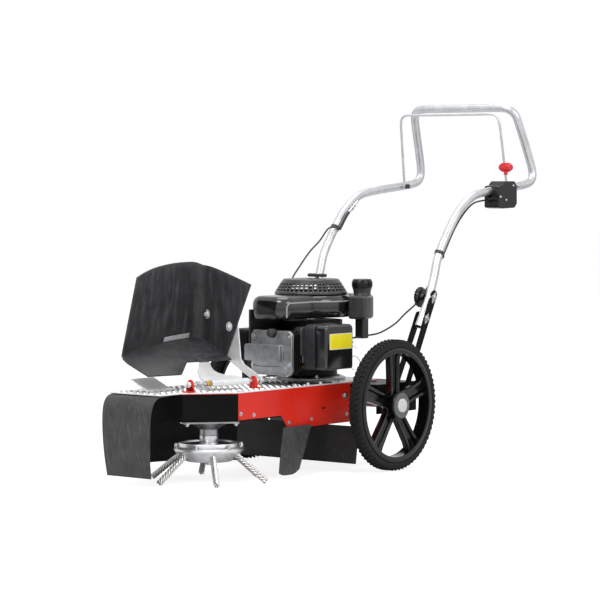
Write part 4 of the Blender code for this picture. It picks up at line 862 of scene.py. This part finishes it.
# Hinge rod and its torsion spring
rodLength = 0.282
lathe("hingeRod", [(0, 0), (0.004, 0), (0.005, 0.001), (0.005, rodLength - 0.001), (0.004, rodLength),
                   (0, rodLength)], hingeAt - hingeH * 0.066, brightZinc, hingeH, 32, node="hinge_rod")
spring = {"turns": 6, "radius": 0.0078, "wire": 0.0009, "pitch": 0.0028, "start": -0.034, "leg": 0.012}
coil = helix(hingeAt + hingeH * spring["start"], hingeH, spring["pitch"] * spring["turns"], spring["radius"],
             spring["turns"], 24, hingeN, zAxis)
coil.append(coil[-1] - zAxis.cross(hingeH) * spring["leg"])
tubes("hingeSpring", [coil], spring["wire"], 10, brightZinc, node="hinge_spring")

# Wheels: tyre carcass with tread blocks, rim with double-ribbed spokes, hub face and cap
wheel = {"x": 0.2875, "height": 0.2, "pitches": 72, "rimSteps": 120, "spokes": 5, "tread": 0.1953,
         "shoulder": 0.1925}
carcass = [(0.1683, -0.0143), (0.1722, -0.0153), (0.1748, -0.016), (0.1762, -0.0176), (0.179, -0.0189),
           (0.185, -0.0194), (0.19, -0.0188), (0.1936, -0.0172), (0.1953, -0.014), (0.1961, -0.007),
           (0.1963, 0.0)]
rimSection = [(0.158, -0.02), (0.16, -0.0206), (0.1725, -0.0196), (0.1738, -0.019), (0.1742, -0.0178),
              (0.1738, -0.0168), (0.169, -0.0152), (0.1678, -0.0146)]
hubSection = [(0.0105, -0.025), (0.029, -0.025), (0.031, -0.0232), (0.032, -0.005), (0.033, 0.019),
              (0.0345, 0.0225), (0.04, 0.0248), (0.0418, 0.0262), (0.042, 0.028), (0.042, 0.0312),
              (0.0408, 0.0328), (0.0385, 0.0338), (0.034, 0.034), (0.0105, 0.034)]
spokeStations = [(0.0285, 1.1), (0.04, 0.94), (0.06, 0.92), (0.1, 0.98), (0.135, 1.06), (0.15, 1.2),
                 (0.16, 1.5)]
spokeHalf = [(0.0205, -0.012), (0.0222, -0.009), (0.0222, 0.0085), (0.0208, 0.01), (0.0145, 0.01),
             (0.013, 0.0088), (0.0105, -0.001), (0.0085, -0.0022)]
spokeSection = [(-0.0205, -0.012)] + spokeHalf + [(-a, b) for a, b in reversed(spokeHalf[1:])]
for side, sign in bothSides:
    hub = Vector((sign * wheel["x"], 0, wheel["height"]))
    axis = Vector((sign, 0, 0))
    body = f"wheel_{side}"
    title = side.title()
    lathe(f"tyreCarcass{title}", mirrored(carcass), hub, tyreRubber, axis, wheel["rimSteps"], node=f"tyre_{side}")
    for row, face, shift in (("Outer", 1, 0.0), ("Inner", -1, 0.5)):
        seats = []
        for k in range(wheel["pitches"]):
            outward = ray(2 * math.pi * (k + shift) / wheel["pitches"])
            along = ray(math.radians(38 * face), xAxis, outward.cross(xAxis))
            seats.append((hub + outward * wheel["tread"] + xAxis * (0.0092 * face), outward, along))
        stamps(f"treadRow{row}{title}", seats, (0.0165, 0.0068, 0.0044), tyreRubber, body, 4, 0.82)
    seats = []
    for face in (1, -1):
        for k in range(wheel["pitches"]):
            outward = ray(2 * math.pi * (k + (0.5 if face * sign < 0 else 0.0)) / wheel["pitches"])
            place = hub + outward * wheel["shoulder"] + xAxis * face * 0.0168
            seats.append((place, xAxis * face * 0.82 + outward * 0.57, outward.cross(xAxis)))
    stamps(f"treadShoulder{title}", seats, (0.0072, 0.008, 0.0026), tyreRubber, body, 4, 0.78)
    bm = bmesh.new()
    addLathe(bm, mirrored(rimSection), hub, axis, wheel["rimSteps"])
    addLathe(bm, hubSection, hub, axis, 64)
    for k in range(wheel["spokes"]):
        along = ray(math.radians(90 + 360 * k / wheel["spokes"]))
        across = along.cross(xAxis)
        rings = [[bm.verts.new(hub + along * reach + across * (a * width) + xAxis * (sign * b))
                  for a, b in spokeSection] for reach, width in spokeStations]
        for lower, upper in zip(rings, rings[1:]):
            bridge(bm, lower, upper)
        bm.faces.new(rings[0])
        bm.faces.new(rings[-1])
    finishPiece(f"rim{title}", bm, rimPlastic, node=f"rim_{side}", angle=40)
    lathe(f"hubCap{title}", [(0, 0.0335), (0.021, 0.0335), (0.0212, 0.035), (0.021, 0.0378), (0.0196, 0.0398),
                             (0.0172, 0.0408), (0, 0.0409)], hub, greyCap, axis, 48, body=body)
    lathe(f"hubFace{title}", [(0.0214, 0.0338), (0.0375, 0.0338), (0.0378, 0.0341), (0.0374, 0.0345),
                              (0.0214, 0.0345)], hub, hubGrey, axis, 64, body=body)
lathe("axle", [(0, 0), (0.0088, 0), (0.01, 0.0012), (0.01, 0.6358), (0.0088, 0.637), (0, 0.637)],
      (-0.3185, 0, wheel["height"]), brightZinc, xAxis, 40, node="axle")
print("wheels made")

# Belt drive and brush
grooves = {"low": 0.214, "high": 0.236, "middle": 0.225}


def pulleyWall(groove, rim):
    low, high, middle = grooves["low"], grooves["high"], grooves["middle"]
    return [(rim - 0.0008, low), (rim, low + 0.0008), (rim, low + 0.0028), (rim - 0.0006, low + 0.0036),
            (groove, middle - 0.006), (groove, middle + 0.006), (rim - 0.0006, high - 0.0036),
            (rim, high - 0.0028), (rim, high - 0.0008), (rim - 0.0008, high)]


crank = (0.0, -0.04, 0)
spindle = (0.045, -0.575, 0)
lathe("crankshaft", [(0, 0.214)] + pulleyWall(0.0215, 0.029)
      + [(0.0125, 0.236), (0.0125, 0.466), (0.085, 0.466), (0.088, 0.474), (0.088, 0.505), (0.08, 0.505),
         (0.08, 0.48), (0.03, 0.48), (0.026, 0.512), (0, 0.512)], crank, turnedAluminium, node="crankshaft")
lathe("brushSpindle", [(0, 0.062), (0.0088, 0.062), (0.01, 0.0632), (0.01, 0.11), (0.0272, 0.11),
                       (0.028, 0.1108), (0.028, 0.1172), (0.0272, 0.118), (0.0245, 0.12), (0.0245, 0.124),
                       (0.0275, 0.1255), (0.0275, 0.1365), (0.01, 0.1365), (0.01, 0.214)]
      + pulleyWall(0.036, 0.045) + [(0.01, 0.236), (0.01, 0.241), (0.009, 0.242), (0, 0.242)], spindle,
      turnedAluminium, node="brush_spindle")
lathe("clampPlate", [(0.0103, 0.1045), (0.0885, 0.1045), (0.0902, 0.1053), (0.0905, 0.1065), (0.0905, 0.115),
                     (0.0897, 0.1163), (0.0885, 0.1165), (0.0862, 0.1165), (0.0851, 0.116), (0.0845, 0.1148),
                     (0.084, 0.1107), (0.0825, 0.1097), (0.0103, 0.1097)], spindle, turnedAluminium, steps=96,
      node="clamp_plate")
lathe("brushDish", [(0.0103, 0.061), (0.062, 0.061), (0.0665, 0.0617), (0.0705, 0.064), (0.085, 0.0768),
                    (0.099, 0.0894), (0.1022, 0.093), (0.1034, 0.0952), (0.1034, 0.0982), (0.102, 0.0998),
                    (0.0985, 0.1036), (0.0975, 0.104), (0.0103, 0.104)], spindle, turnedAluminium, steps=96,
      node="brush_dish")
lathe("idlerPulley", [(0.0045, 0.2165), (0.017, 0.2165), (0.018, 0.2175), (0.018, 0.2335), (0.017, 0.2345),
                      (0.0045, 0.2345)], (0.0862, -0.29, 0), turnedAluminium, steps=40, node="idler_pulley")
ropes = {"count": 6, "phase": 18, "radius": 0.0095, "rootR": 0.074, "rootZ": 0.0915, "fallR": 0.121,
         "fallZ": 0.0948, "turns": 1.9}
for k in range(ropes["count"]):
    out = ray(math.radians(ropes["phase"] + 360 * k / ropes["count"]), xAxis, yAxis)
    slope = (out * ropes["fallR"] - zAxis * ropes["fallZ"]).normalized()
    root = Vector(spindle) + zAxis * ropes["rootZ"] + out * ropes["rootR"]
    length = (root.z - ropes["radius"] * math.sqrt(1 - slope.z**2)) / -slope.z
    values = {"Strands": 6, "Turns": ropes["turns"], "Length": length, "Rope Radius": ropes["radius"]}
    name = f"wireRope{k + 1}"
    growPiece(name, seatMesh(name, [root], {"facing": [slope]}), ropeNodes, values, drawnWire, None,
              f"wire_rope_{k + 1}", 50)
print("belt drive and brush made")

# Fan shroud with a rounded top, its rib in light grey as a painted highlight, and the covers and carburettor below
# it
shroud = {"radius": 0.1245, "wall": 0.0035, "left": -0.064, "right": 0.084, "front": -0.272, "bend": 0.045,
          "rib": 0.0025}
shroudLevels = [(0.0, 0.4635), (0.0, 0.49), (0.0, 0.509), (0.0006, 0.514), (0.0022, 0.519), (0.005, 0.5238),
                (0.009, 0.5278), (0.013, 0.5305), (0.018, 0.532)]


def shroudPlan(inset):
    r = shroud["radius"] - inset
    left, right, front = shroud["left"] + inset, shroud["right"] - inset, shroud["front"] + inset
    first, last = -math.degrees(math.acos(right / r)), 360 - math.degrees(math.acos(left / r))
    bend = shroud["bend"] - inset * 0.6
    nose = rounded([(left, -0.1), (left, front), (right, front), (right, -0.1)], [0, bend, bend, 0], 10)
    return arc(r, first, last, 64, crank) + nose[1:-1]


bm = bmesh.new()
rings = [[bm.verts.new((a, b, height)) for a, b in shroudPlan(inset)] for inset, height in shroudLevels]
for lower, upper in zip(rings, rings[1:]):
    bridge(bm, lower, upper)
bm.faces.new(rings[-1])
addWall(finishPiece("fanShroud", bm, glossyPlastic, node="fan_shroud", angle=40), shroud["wall"])
prisms("cylinderBaffle", [
    (rounded(rect(-0.264, 0.33, -0.18, 0.49), [0.012, 0.002, 0.002, 0.002]), -0.0635, -0.0565),
    (rect(-0.184, 0.4, -0.105, 0.4655), -0.0625, -0.0575)], mouldedPlastic, fromSide, bevel=0.001)
prisms("intakeDuct", [(roundRect(-0.23, 0.352, -0.1, 0.44, 0.01), 0.086, 0.1147)], mouldedPlastic, fromSide,
       bevel=0.004, segments=4)
prisms("carburettorBody", [(roundRect(-0.222, 0.333, -0.178, 0.353, 0.004), 0.09, 0.114),
                           (roundRect(-0.206, 0.316, -0.19, 0.336, 0.002), 0.096, 0.112)],
       castAluminium, fromSide, bevel=0.001)
plan = shroudPlan(-0.0004)
arch = plan[-5:] + plan[:22]
rib = [(*arch[0], 0.468), (*arch[0], 0.502)] + [(a, b, 0.512) for a, b in arch[1:-1]]
rib += [(*arch[-1], 0.502), (*arch[-1], 0.464)]
# The rib's light grey is a painted highlight on the black shroud
tubes("shroudRib", [rib], shroud["rib"], 12, ribHighlightGrey)

# Starter housing: a cone with rows of square slots cut through it, and its grip
starter = {"slots": 44, "wall": 0.0035, "openRows": (2, 4, 6)}
coneLevels = [(0.1125, 0.5323), (0.1125, 0.5366), (0.1086, 0.5428), (0.1052, 0.5482), (0.103, 0.5517),
              (0.0998, 0.5568), (0.0976, 0.5603), (0.0944, 0.5654), (0.0922, 0.5689), (0.0886, 0.574),
              (0.0868, 0.5764), (0.0835, 0.5783), (0.07, 0.579), (0.03, 0.5798), (0.0001, 0.58)]
bm = bmesh.new()
rings = [[bm.verts.new((x, y, height)) for x, y in arc(radius, 0, 360, starter["slots"] * 3, crank)[:-1]]
         for radius, height in coneLevels]
for row, (lower, upper) in enumerate(zip(rings, rings[1:])):
    bridge(bm, lower, upper, 3 if row in starter["openRows"] else 1)
addWall(finishPiece("starterGrille", bm, mouldedPlastic, node="starter_grille", angle=40), starter["wall"])
gripAt = Vector((0.018, -0.032, 0.5895))
turnings("starterGrip", [
    (mirrored([(0, -0.036), (0.004, -0.0355), (0.0055, -0.033), (0.0055, -0.012), (0.005, 0.0)]), gripAt, xAxis, 28),
    ([(0, -0.0087), (0.006, -0.0087), (0.005, -0.003), (0, -0.001)], gripAt, zAxis, 24)],
    mouldedPlastic, node="starter_grip")

# Fuel tank round the shroud, its neck, and the ribbed cap
tankPlan = arc(0.193, 8, 120, 32, crank) + arc(0.1305, 120, 8, 32, crank)
prisms("fuelTank", [(tankPlan, 0.457, 0.528)], mouldedPlastic, node="fuel_tank", bevel=0.008, angle=50, segments=4)
capAt = Vector((0.1225, 0.06, 0))
lathe("tankNeck", [(0, 0.52), (0.029, 0.5275), (0.0268, 0.531), (0.027, 0.54), (0.03, 0.5495), (0, 0.5495)],
      capAt, mouldedPlastic, steps=48)
prisms("tankLeg", [(roundRect(0.105, 0.045, 0.138, 0.075, 0.005), 0.394, 0.458)], mouldedPlastic, bevel=0.0015)
lathe("fuelCap", [(0, 0.5498), (0.0295, 0.5498), (0.0305, 0.5508), (0.0305, 0.572), (0.0295, 0.5752),
                  (0.027, 0.5775), (0.02, 0.578), (0, 0.578)], capAt, rimPlastic, node="fuel_cap")
ribsRound("fuelCapRibs", capAt + zAxis * 0.5615, 0.0306, 32, (0.019, 0.0032, 0.0016), rimPlastic, "cap", 0.7,
          u=xAxis, v=yAxis)

# Air filter: its cover, and the plain yellow plate in its white border
filterOutline = rounded(rect(-0.2155, 0.312, -0.083, 0.448), [0.008, 0.008, 0.016, 0.016], 8)
prisms("filterCover", [(filterOutline, 0.1553, 0.2)], glossyPlastic, fromSide, node="filter_cover", bevel=0.007,
       segments=5)
prisms("plateBorder", [(roundRect(-0.1995, 0.3735, -0.0902, 0.4215, 0.0025), 0.2, 0.2004)], whiteFilm, fromSide)
prisms("yellowPlate", [(roundRect(-0.1975, 0.3755, -0.0915, 0.4195, 0.002), 0.2004, 0.201)], yellowFilm, fromSide,
       node="yellow_plate")
lathe("sparkPlugBoot", [(0, 0), (0.0105, 0), (0.0118, 0.0008), (0.0125, 0.003), (0.0125, 0.0215), (0.0112, 0.025),
                        (0.0085, 0.0268), (0, 0.027)], (0.045, -0.2732, 0.424), rubberSheet, -yAxis, 40,
      node="spark_plug_boot")
print("engine covers made")

# Handle parts: bail wire, clamp and pivot bolts, knobs
bailHalf = [(0.2195, 0.72, 0.8575), (0.212, 0.72, 0.8575), (0.2078, 0.719, 0.8625),
            (0.207, 0.7175, 0.8775), (0.205, 0.708, 0.94), (0.202, 0.696, 1.02),
            (0.199, 0.688, 1.07), (0.19, 0.6855, 1.088), (0.17, 0.685, 1.095),
            (0.1, 0.685, 1.095)]
bailPoints = even(through(bothHalves(bailHalf, (0, 0.685, 1.095)), 8), 0.004)
tubes("bailWire", [bailPoints], 0.004, 18, tubeZinc, node="bail_wire")
knobSection = [(0, 0), (0.023, 0), (0.0262, 0.0016), (0.0288, 0.005), (0.0292, 0.01), (0.0275, 0.014),
               (0.024, 0.015), (0.013, 0.0155), (0.0112, 0.018), (0.0105, 0.0262), (0.0046, 0.0262),
               (0.0046, 0.014), (0, 0.014)]


def bracketBolt(name, at, sign, body, shank, diamond, plate):
    # A shank along X from shank[0], shank[1] long, with a diamond plate under its head
    start, length = shank
    along, across = diamond
    bm = bmesh.new()
    addLathe(bm, ringProfile(0, 0.004, 0, length), (sign * start, at.y, at.z), (sign, 0, 0), 20)
    corners = [onBar(at, a, b) for a, b in ((along, 0), (0, across), (-along, 0), (0, -across))]
    addSolid(bm, corners, *band(sign, *plate), *fromSide)
    finishPiece(name, bm, brightZinc, body)


for side, sign in bothSides:
    title = side.title()
    outward = (sign, 0, 0)
    seat = Vector((sign * 0.1885, clamp.y, clamp.z))
    lathe(f"clampKnob{title}", knobSection, seat, rimPlastic, outward, node=f"clamp_knob_{side}")
    ribsRound(f"clampKnobRibs{title}", seat + xAxis * (sign * 0.0078), 0.0292, 20, (0.011, 0.005, 0.0032),
              rimPlastic, f"knob_{side}", 0.55, 6)
    bracketBolt(f"clampBolt{title}", clamp, sign, "handle", (0.203, 0.052), (0.022, 0.0125), (0.2482, 0.25))
    fasteners(f"clampHead{title}", [(sign * 0.2498, clamp.y, clamp.z)], outward, (0.0075, 0.0042, 0.0078), "handle")
    bracketBolt(f"pivotBolt{title}", pivot, sign, "chassis", (0.205, 0.045), (0.02, 0.0115), (0.2479, 0.2492))
    fasteners(f"pivotHeads{title}", [(sign * x, pivot.y, pivot.z) for x in (0.2492, 0.2101)],
              [outward, (-sign, 0, 0)], (0.0075, 0.0045, 0.0085))
knobAt = Vector((0.2505, 0.652, 0.9225))
knobProfile = mirrored([(0, -0.025), (0.005, -0.0246), (0.0085, -0.0228), (0.0112, -0.0185), (0.0128, -0.011),
                        (0.0133, 0.0)])
turnings("leverKnob", [
    (knobProfile, knobAt, xAxis, 48),
    ([(0.0035, -0.0245), (0.0065, -0.0235), (0.0065, -0.01), (0.0035, -0.01)], knobAt, zAxis, 32)],
    redPolypropylene, node="lever_knob")
ribsRound("leverKnobRibs", knobAt, 0.0131, 16, (0.034, 0.0022, 0.0016), redPolypropylene, "throttle", 0.6)
print("handle parts made")

# Fasteners, each seat on the face that carries it
trayBolts = [(sign * 0.15, y, z) for sign in (1, -1) for y, z in (
    (-0.5544, 0.2036), (-0.4956, 0.1966), (-0.3314, 0.1627), (-0.2246, 0.1654), (-0.054, 0.1684))]
fasteners("trayBolts", trayBolts, [(x, 0, 0) for x, y, z in trayBolts], (0.0045, 0.003, 0.0062))
fasteners("trayClampBolts", [(0.15, -0.0614, 0.2253), (-0.15, -0.0614, 0.2253)], [(1, 0, 0), (-1, 0, 0)],
          (0.008, 0.005, 0.0115))
chamferWay = Vector((0.106, 0.125, 0)).normalized()
chamferOut = Vector((chamferWay.y, -chamferWay.x, 0))
flangeBolts = [Vector((*spindle[:2], 0.1755)) + chamferWay * a + chamferOut * b
               for a in (-0.072, 0.072) for b in (-0.052, 0.052)]
fasteners("flangeBolts", flangeBolts, -zAxis, (0.007, 0.0055, 0.0105))
dishBolts = [(x, y, 0.1034) for x, y in arc(0.0966, ropes["phase"] + 30, ropes["phase"] + 330, 5, spindle)]
fasteners("dishBolts", dishBolts, zAxis, (0.006, 0.0085, 0.0062), "brush_head")
fasteners("spindleNut", [(*spindle[:2], 0.062)], -zAxis, (0.013, 0.01, 0.018), "brush_head")
lathe("engineBaseRing", [(0.1035, 0.2642), (0.1062, 0.2642), (0.1068, 0.2652), (0.1068, 0.275), (0.1056, 0.2764),
                         (0.095, 0.28), (0.0935, 0.2795)], crank, castAluminium, steps=96)
fasteners("engineFeetBolts", [(x, y, 0.277) for x, y in arc(0.094, 20, 320, 5, crank)], zAxis,
          (0.006, 0.0055, 0.009))
deckBolts = [(x, y, 0.2675) for x, y in ((0.137, -0.54), (0.137, -0.4), (-0.144, -0.4), (-0.144, -0.64),
                                         (0.01, -0.765), (-0.13, -0.765))]
fasteners("deckBolts", deckBolts, zAxis, (0.0048, 0.0032, 0.007))
topBolts = [(x, y, 0.2672) for x in (0.137, -0.137) for y in (-0.35, -0.285, -0.225, -0.165, -0.105)]
fasteners("topBolts", topBolts, zAxis, (0.0052, 0.005, 0.0078))
coverBolts = [(x, -0.285, z) for x, z in ((-0.027, 0.324), (-0.026, 0.412), (0.112, 0.33), (0.112, 0.414))]
fasteners("coverBolts", coverBolts, -yAxis, (0.0055, 0.0048, 0.008))
fasteners("hoodBolts", [onHood(0.1908, 0.2955, 0.078), onHood(0.1922, 0.183, 0.09)], -hingeH,
          (0.0085, 0.0055, 0.0145), "guard", 6, galvanisedSheet)
fasteners("armNuts", [onHood(0.2033, 0.2965, 0.078), onHood(0.2033, 0.183, 0.09)], hingeH,
          (0.0062, 0.0052, 0.0085), "guard")
strapBolts = [onHood(h, c, -0.0075) for h, c in ((0.1, 0.15), (0.13, 0.024), (0.048, 0.024))]
fasteners("strapBolts", strapBolts, -hoodS, (0.005, 0.0035, 0.0078), "guard")
housingScrews = [(0.264, y, z) for y, z in ((0.635, 0.818), (0.675, 0.864), (0.603, 0.828))]
fasteners("housingScrews", housingScrews, xAxis, (0.0034, 0.0016, 0.0042), "handle", 12)
# Slots in the tray's sides: flat black ovals, painted shade standing for their dark openings
stamps("traySlotsPaintedShade", [((sign * 0.15, -0.1667, 0.1944), (sign, 0, 0), yAxis) for sign in (1, -1)],
       (0.017, 0.006, 0.0003), blackPowderCoat, sides=16, taper=1.0)
print("fasteners set")

# Chequer sheet over the rear of the tray in two halves round the engine, then the lozenges in a basket pattern
deck = {"half": 0.149, "low": 0.2637, "high": 0.2672, "round": 0.107}
rearHalves = [
    [(deck["half"], -0.3797), (deck["half"], -0.052)] + arc(deck["round"], -6, -174, 40, crank)
    + [(-deck["half"], -0.052), (-deck["half"], -0.3797)],
    [(deck["half"], -0.0516), (deck["half"], 0.0985), (-deck["half"], 0.0985), (-deck["half"], -0.0516)]
    + arc(deck["round"], 186, -6, 48, crank)]
prisms("rearDeck", [(half, deck["low"], deck["high"]) for half in rearHalves], chequerAluminium, bevel=0.0006)
lozenge = {"pitch": 0.0125, "size": (0.0175, 0.0052, 0.0011), "margin": 0.007, "height": 0.2674, "clear": 0.118}


def onDeck(x, y):
    # Clear of the deck's edges, the tongue, the engine and the joint between the two sheets
    right = min(0.15, 0.044 + (y + 0.689) * 0.82) if y > -0.689 else 0.041
    inside = lozenge["margin"] - deck["half"] < x < right - lozenge["margin"] and -0.778 < y < 0.09
    onTongue = x < -0.052 and -0.706 < y < -0.594
    return inside and not onTongue and math.hypot(x, y - crank[1]) > lozenge["clear"] and abs(y + 0.38) > 0.006


seats = []
for i in range(-20, 21):
    for j in range(60):
        x, y = i * lozenge["pitch"], -0.79 + j * lozenge["pitch"]
        if onDeck(x, y):
            seats.append(((x, y, lozenge["height"]), zAxis, (1 if (i + j) % 2 else -1, 1, 0)))
stamps("chequerLozenges", seats, lozenge["size"], lozengeAluminium, sides=8, taper=0.55)

# Cable clips, adjuster and sleeve, bail bushes and small fittings on the handle
for side, sign, y in (("left", 1, 0.318), ("right", -1, 0.37)):
    centre, way = alongTube(y, sign)
    beside = besideTube(y, sign)
    turnings(f"cableClip{side.title()}", [
        (ringProfile(0.0136, 0.0153, -0.0055, 0.0055), centre, way, 40),
        (ringProfile(0.0029, 0.005, -0.0045, 0.0045), beside, way, 20),
        (ringProfile(0, 0.003, -0.004, 0.004), centre.lerp(beside, 0.78), way, 12)],
        mouldedPlastic, body="handle", angle=40)
adjusterFoot = besideTube(0.415, -1)
adjuster = besideTube(0.464, -1) - adjusterFoot
lathe("cableAdjuster", [(0.0029, 0), (0.0048, 0.001), (0.0048, 0.018), (0.007, 0.0185), (0.007, 0.0245),
                        (0.0042, 0.025), (0.0042, 0.034), (0.0062, 0.0345), (0.0062, 0.039), (0.0036, 0.0395),
                        (0.0036, adjuster.length), (0.0029, adjuster.length)], adjusterFoot, brightZinc, adjuster,
      24, body="handle")
sleeve = even(through([besideTube(y, -1) for y in (0.415, 0.4, 0.38, 0.374)], 6), 0.004)
tubes("cableSleeve", [sleeve], 0.0046, 16, cableSheath, body="handle")
for side, sign in bothSides:
    plateAt, inward = (sign * 0.2148, 0.72, 0.8575), (-sign, 0, 0)
    turnings(f"bailBush{side.title()}", [(ringProfile(0.0042, 0.0085, 0, 0.0012), plateAt, inward, 28),
                                         (ringProfile(0.0042, 0.0062, 0.0012, 0.004), plateAt, inward, 20)],
             brightZinc, body="handle")
fasteners("tubeFitting", [(0.2425, 0.7342, 0.86)], xAxis, (0.006, 0.0055, 0.0085), "handle")
lathe("tubeStop", [(0, 0), (0.0075, 0), (0.008, 0.001), (0.008, 0.012), (0.0065, 0.014), (0, 0.014)],
      (-0.216, 0.738, 0.859), mouldedPlastic, xAxis, 24, body="handle")

# Muffler guard louvres and the heat shield's screws, on the far side
louvres = [((-0.185, -0.195 + 0.02 * i, 0.348 + 0.0135 * j), -xAxis, yAxis) for i in range(6) for j in range(5)]
stamps("mufflerLouvres", louvres, (0.015, 0.0065, 0.002), blackPowderCoat, taper=0.6)
fasteners("mufflerScrews", [(-0.185, y, z) for z in (0.415, 0.34) for y in (-0.205, -0.085)], -xAxis,
          (0.0042, 0.003, 0.006))

# Carburettor side: drain cup, brass jet, governor wires and spring
lathe("drainCup", [(0, 0), (0.01, 0), (0.014, 0.003), (0.015, 0.024), (0.012, 0.027), (0, 0.027)],
      (0.1, -0.165, 0.323), castAluminium, steps=40)
fasteners("drainBolt", [(0.1, -0.165, 0.323)], -zAxis, (0.0052, 0.0045, 0.006), material=brassFitting)
lathe("inletFitting", [(0, 0), (0.0045, 0), (0.0045, 0.012), (0.0062, 0.0125), (0.0062, 0.017), (0.004, 0.0175),
                       (0.004, 0.026), (0, 0.026)], (0.092, -0.206, 0.323), brassFitting, xAxis, 28)
linkSpring = helix(Vector((0.112, -0.072, 0.356)), yAxis, 0.043, 0.0026, 10, 16, xAxis, zAxis)
tubes("governorSpring", [[(0.112, -0.079, 0.356)] + linkSpring + [(0.112, -0.024, 0.356)]], 0.0004, 8,
      brightZinc)
governorWires = [
    [(0.112, -0.07, 0.386), (0.12, -0.03, 0.393), (0.118, 0.01, 0.38), (0.112, 0.03, 0.384)],
    [(0.112, -0.07, 0.372), (0.118, -0.02, 0.364), (0.122, 0.02, 0.37), (0.11, 0.05, 0.362)],
    [(0.104, 0.02, 0.332), (0.116, 0.034, 0.34), (0.122, 0.052, 0.32), (0.11, 0.06, 0.3),
     (0.1, 0.046, 0.296), (0.102, 0.028, 0.308)]]
tubes("governorWires", [through(wire, 10) for wire in governorWires], 0.0012, 8, brightZinc)
fasteners("bracketScrew", [(0.108, -0.01, 0.356), (0.108, -0.03, 0.342)], xAxis, (0.0042, 0.0032, 0.0058))
print("details made")

# Hinge fittings: a brass bush in the guard's sleeve and a collar at each end of the rod
bushProfile = mirrored([(0.0053, -0.007), (0.0074, -0.007), (0.008, -0.0055)])
lathe("hingeBush", bushProfile, hingeAt + hingeH * 0.009, brassFitting, hingeH, 32, body="guard")
collarProfile = mirrored([(0.0052, -0.0035), (0.0078, -0.0035), (0.0082, -0.0028)])
for place, along in (("Front", -0.062), ("Rear", 0.186)):
    lathe(f"hingeCollar{place}", collarProfile, hingeAt + hingeH * along, whitePlastic, hingeH, 32)
print("hinge fittings made")


# Studio: pale floor that keeps a soft shadow, white behind it, wide soft lights
def shaderTree(owner):
    owner.use_nodes = True
    owner.node_tree.nodes.clear()
    return owner.node_tree, addNode(owner.node_tree, "ShaderNodeLightPath").outputs


def mixedShader(tree, share, first, second, kind):
    blend = addNode(tree, "ShaderNodeMixShader", {0: share, 1: first, 2: second})
    addNode(tree, kind, {"Surface": blend})


floorMesh = bpy.data.meshes.new("studioFloor")
floorMesh.from_pydata([(-30, -30, 0), (30, -30, 0), (30, 30, 0), (-30, 30, 0)], [], [(0, 1, 2, 3)])
floor = bpy.data.objects.new("studioFloor", floorMesh)
bpy.context.collection.objects.link(floor)
floorMaterial = bpy.data.materials.new("pale studio floor")
tree, path = shaderTree(floorMaterial)
matte = addNode(tree, "ShaderNodeBsdfDiffuse", {"Color": linear("#f4f4f4")})
glow = addNode(tree, "ShaderNodeEmission", {"Color": (1, 1, 1, 1), "Strength": 1.36})
mixedShader(tree, maths(tree, "MULTIPLY", path["Is Camera Ray"], 0.62), matte, glow, "ShaderNodeOutputMaterial")
floorMesh.materials.append(floorMaterial)

world = bpy.data.worlds.new("studio")
bpy.context.scene.world = world
tree, path = shaderTree(world)
seen = maths(tree, "MAXIMUM", path["Is Camera Ray"], path["Is Transmission Ray"])
direct = maths(tree, "MAXIMUM", seen, path["Is Glossy Ray"])
soft = addNode(tree, "ShaderNodeBackground", {"Color": linear("#f6f7fa"), "Strength": 0.5})
white = addNode(tree, "ShaderNodeBackground", {"Color": (1, 1, 1, 1), "Strength": 1.0})
mixedShader(tree, direct, soft, white, "ShaderNodeOutputWorld")

studioLights = [("keyLight", (0.5, -4.5, 4.8), (0.0, -0.2, 0.4), 3.0, 160),
                ("sideLight", (4.5, -0.5, 2.6), (0.1, 0.0, 0.4), 2.4, 50),
                ("topLight", (-0.5, 0.6, 5.0), (0.0, 0.0, 0.4), 3.5, 85)]
for name, at, target, size, power in studioLights:
    lamp = bpy.data.lights.new(name, "AREA")
    lamp.shape = "DISK"
    lamp.size = size
    lamp.energy = power
    light = bpy.data.objects.new(name, lamp)
    bpy.context.collection.objects.link(light)
    light.location = at
    light.rotation_euler = (Vector(target) - Vector(at)).to_track_quat("-Z", "Y").to_euler()
bpy.context.scene.view_settings.view_transform = "Standard"
print("studio set")

bpy.context.view_layer.update()
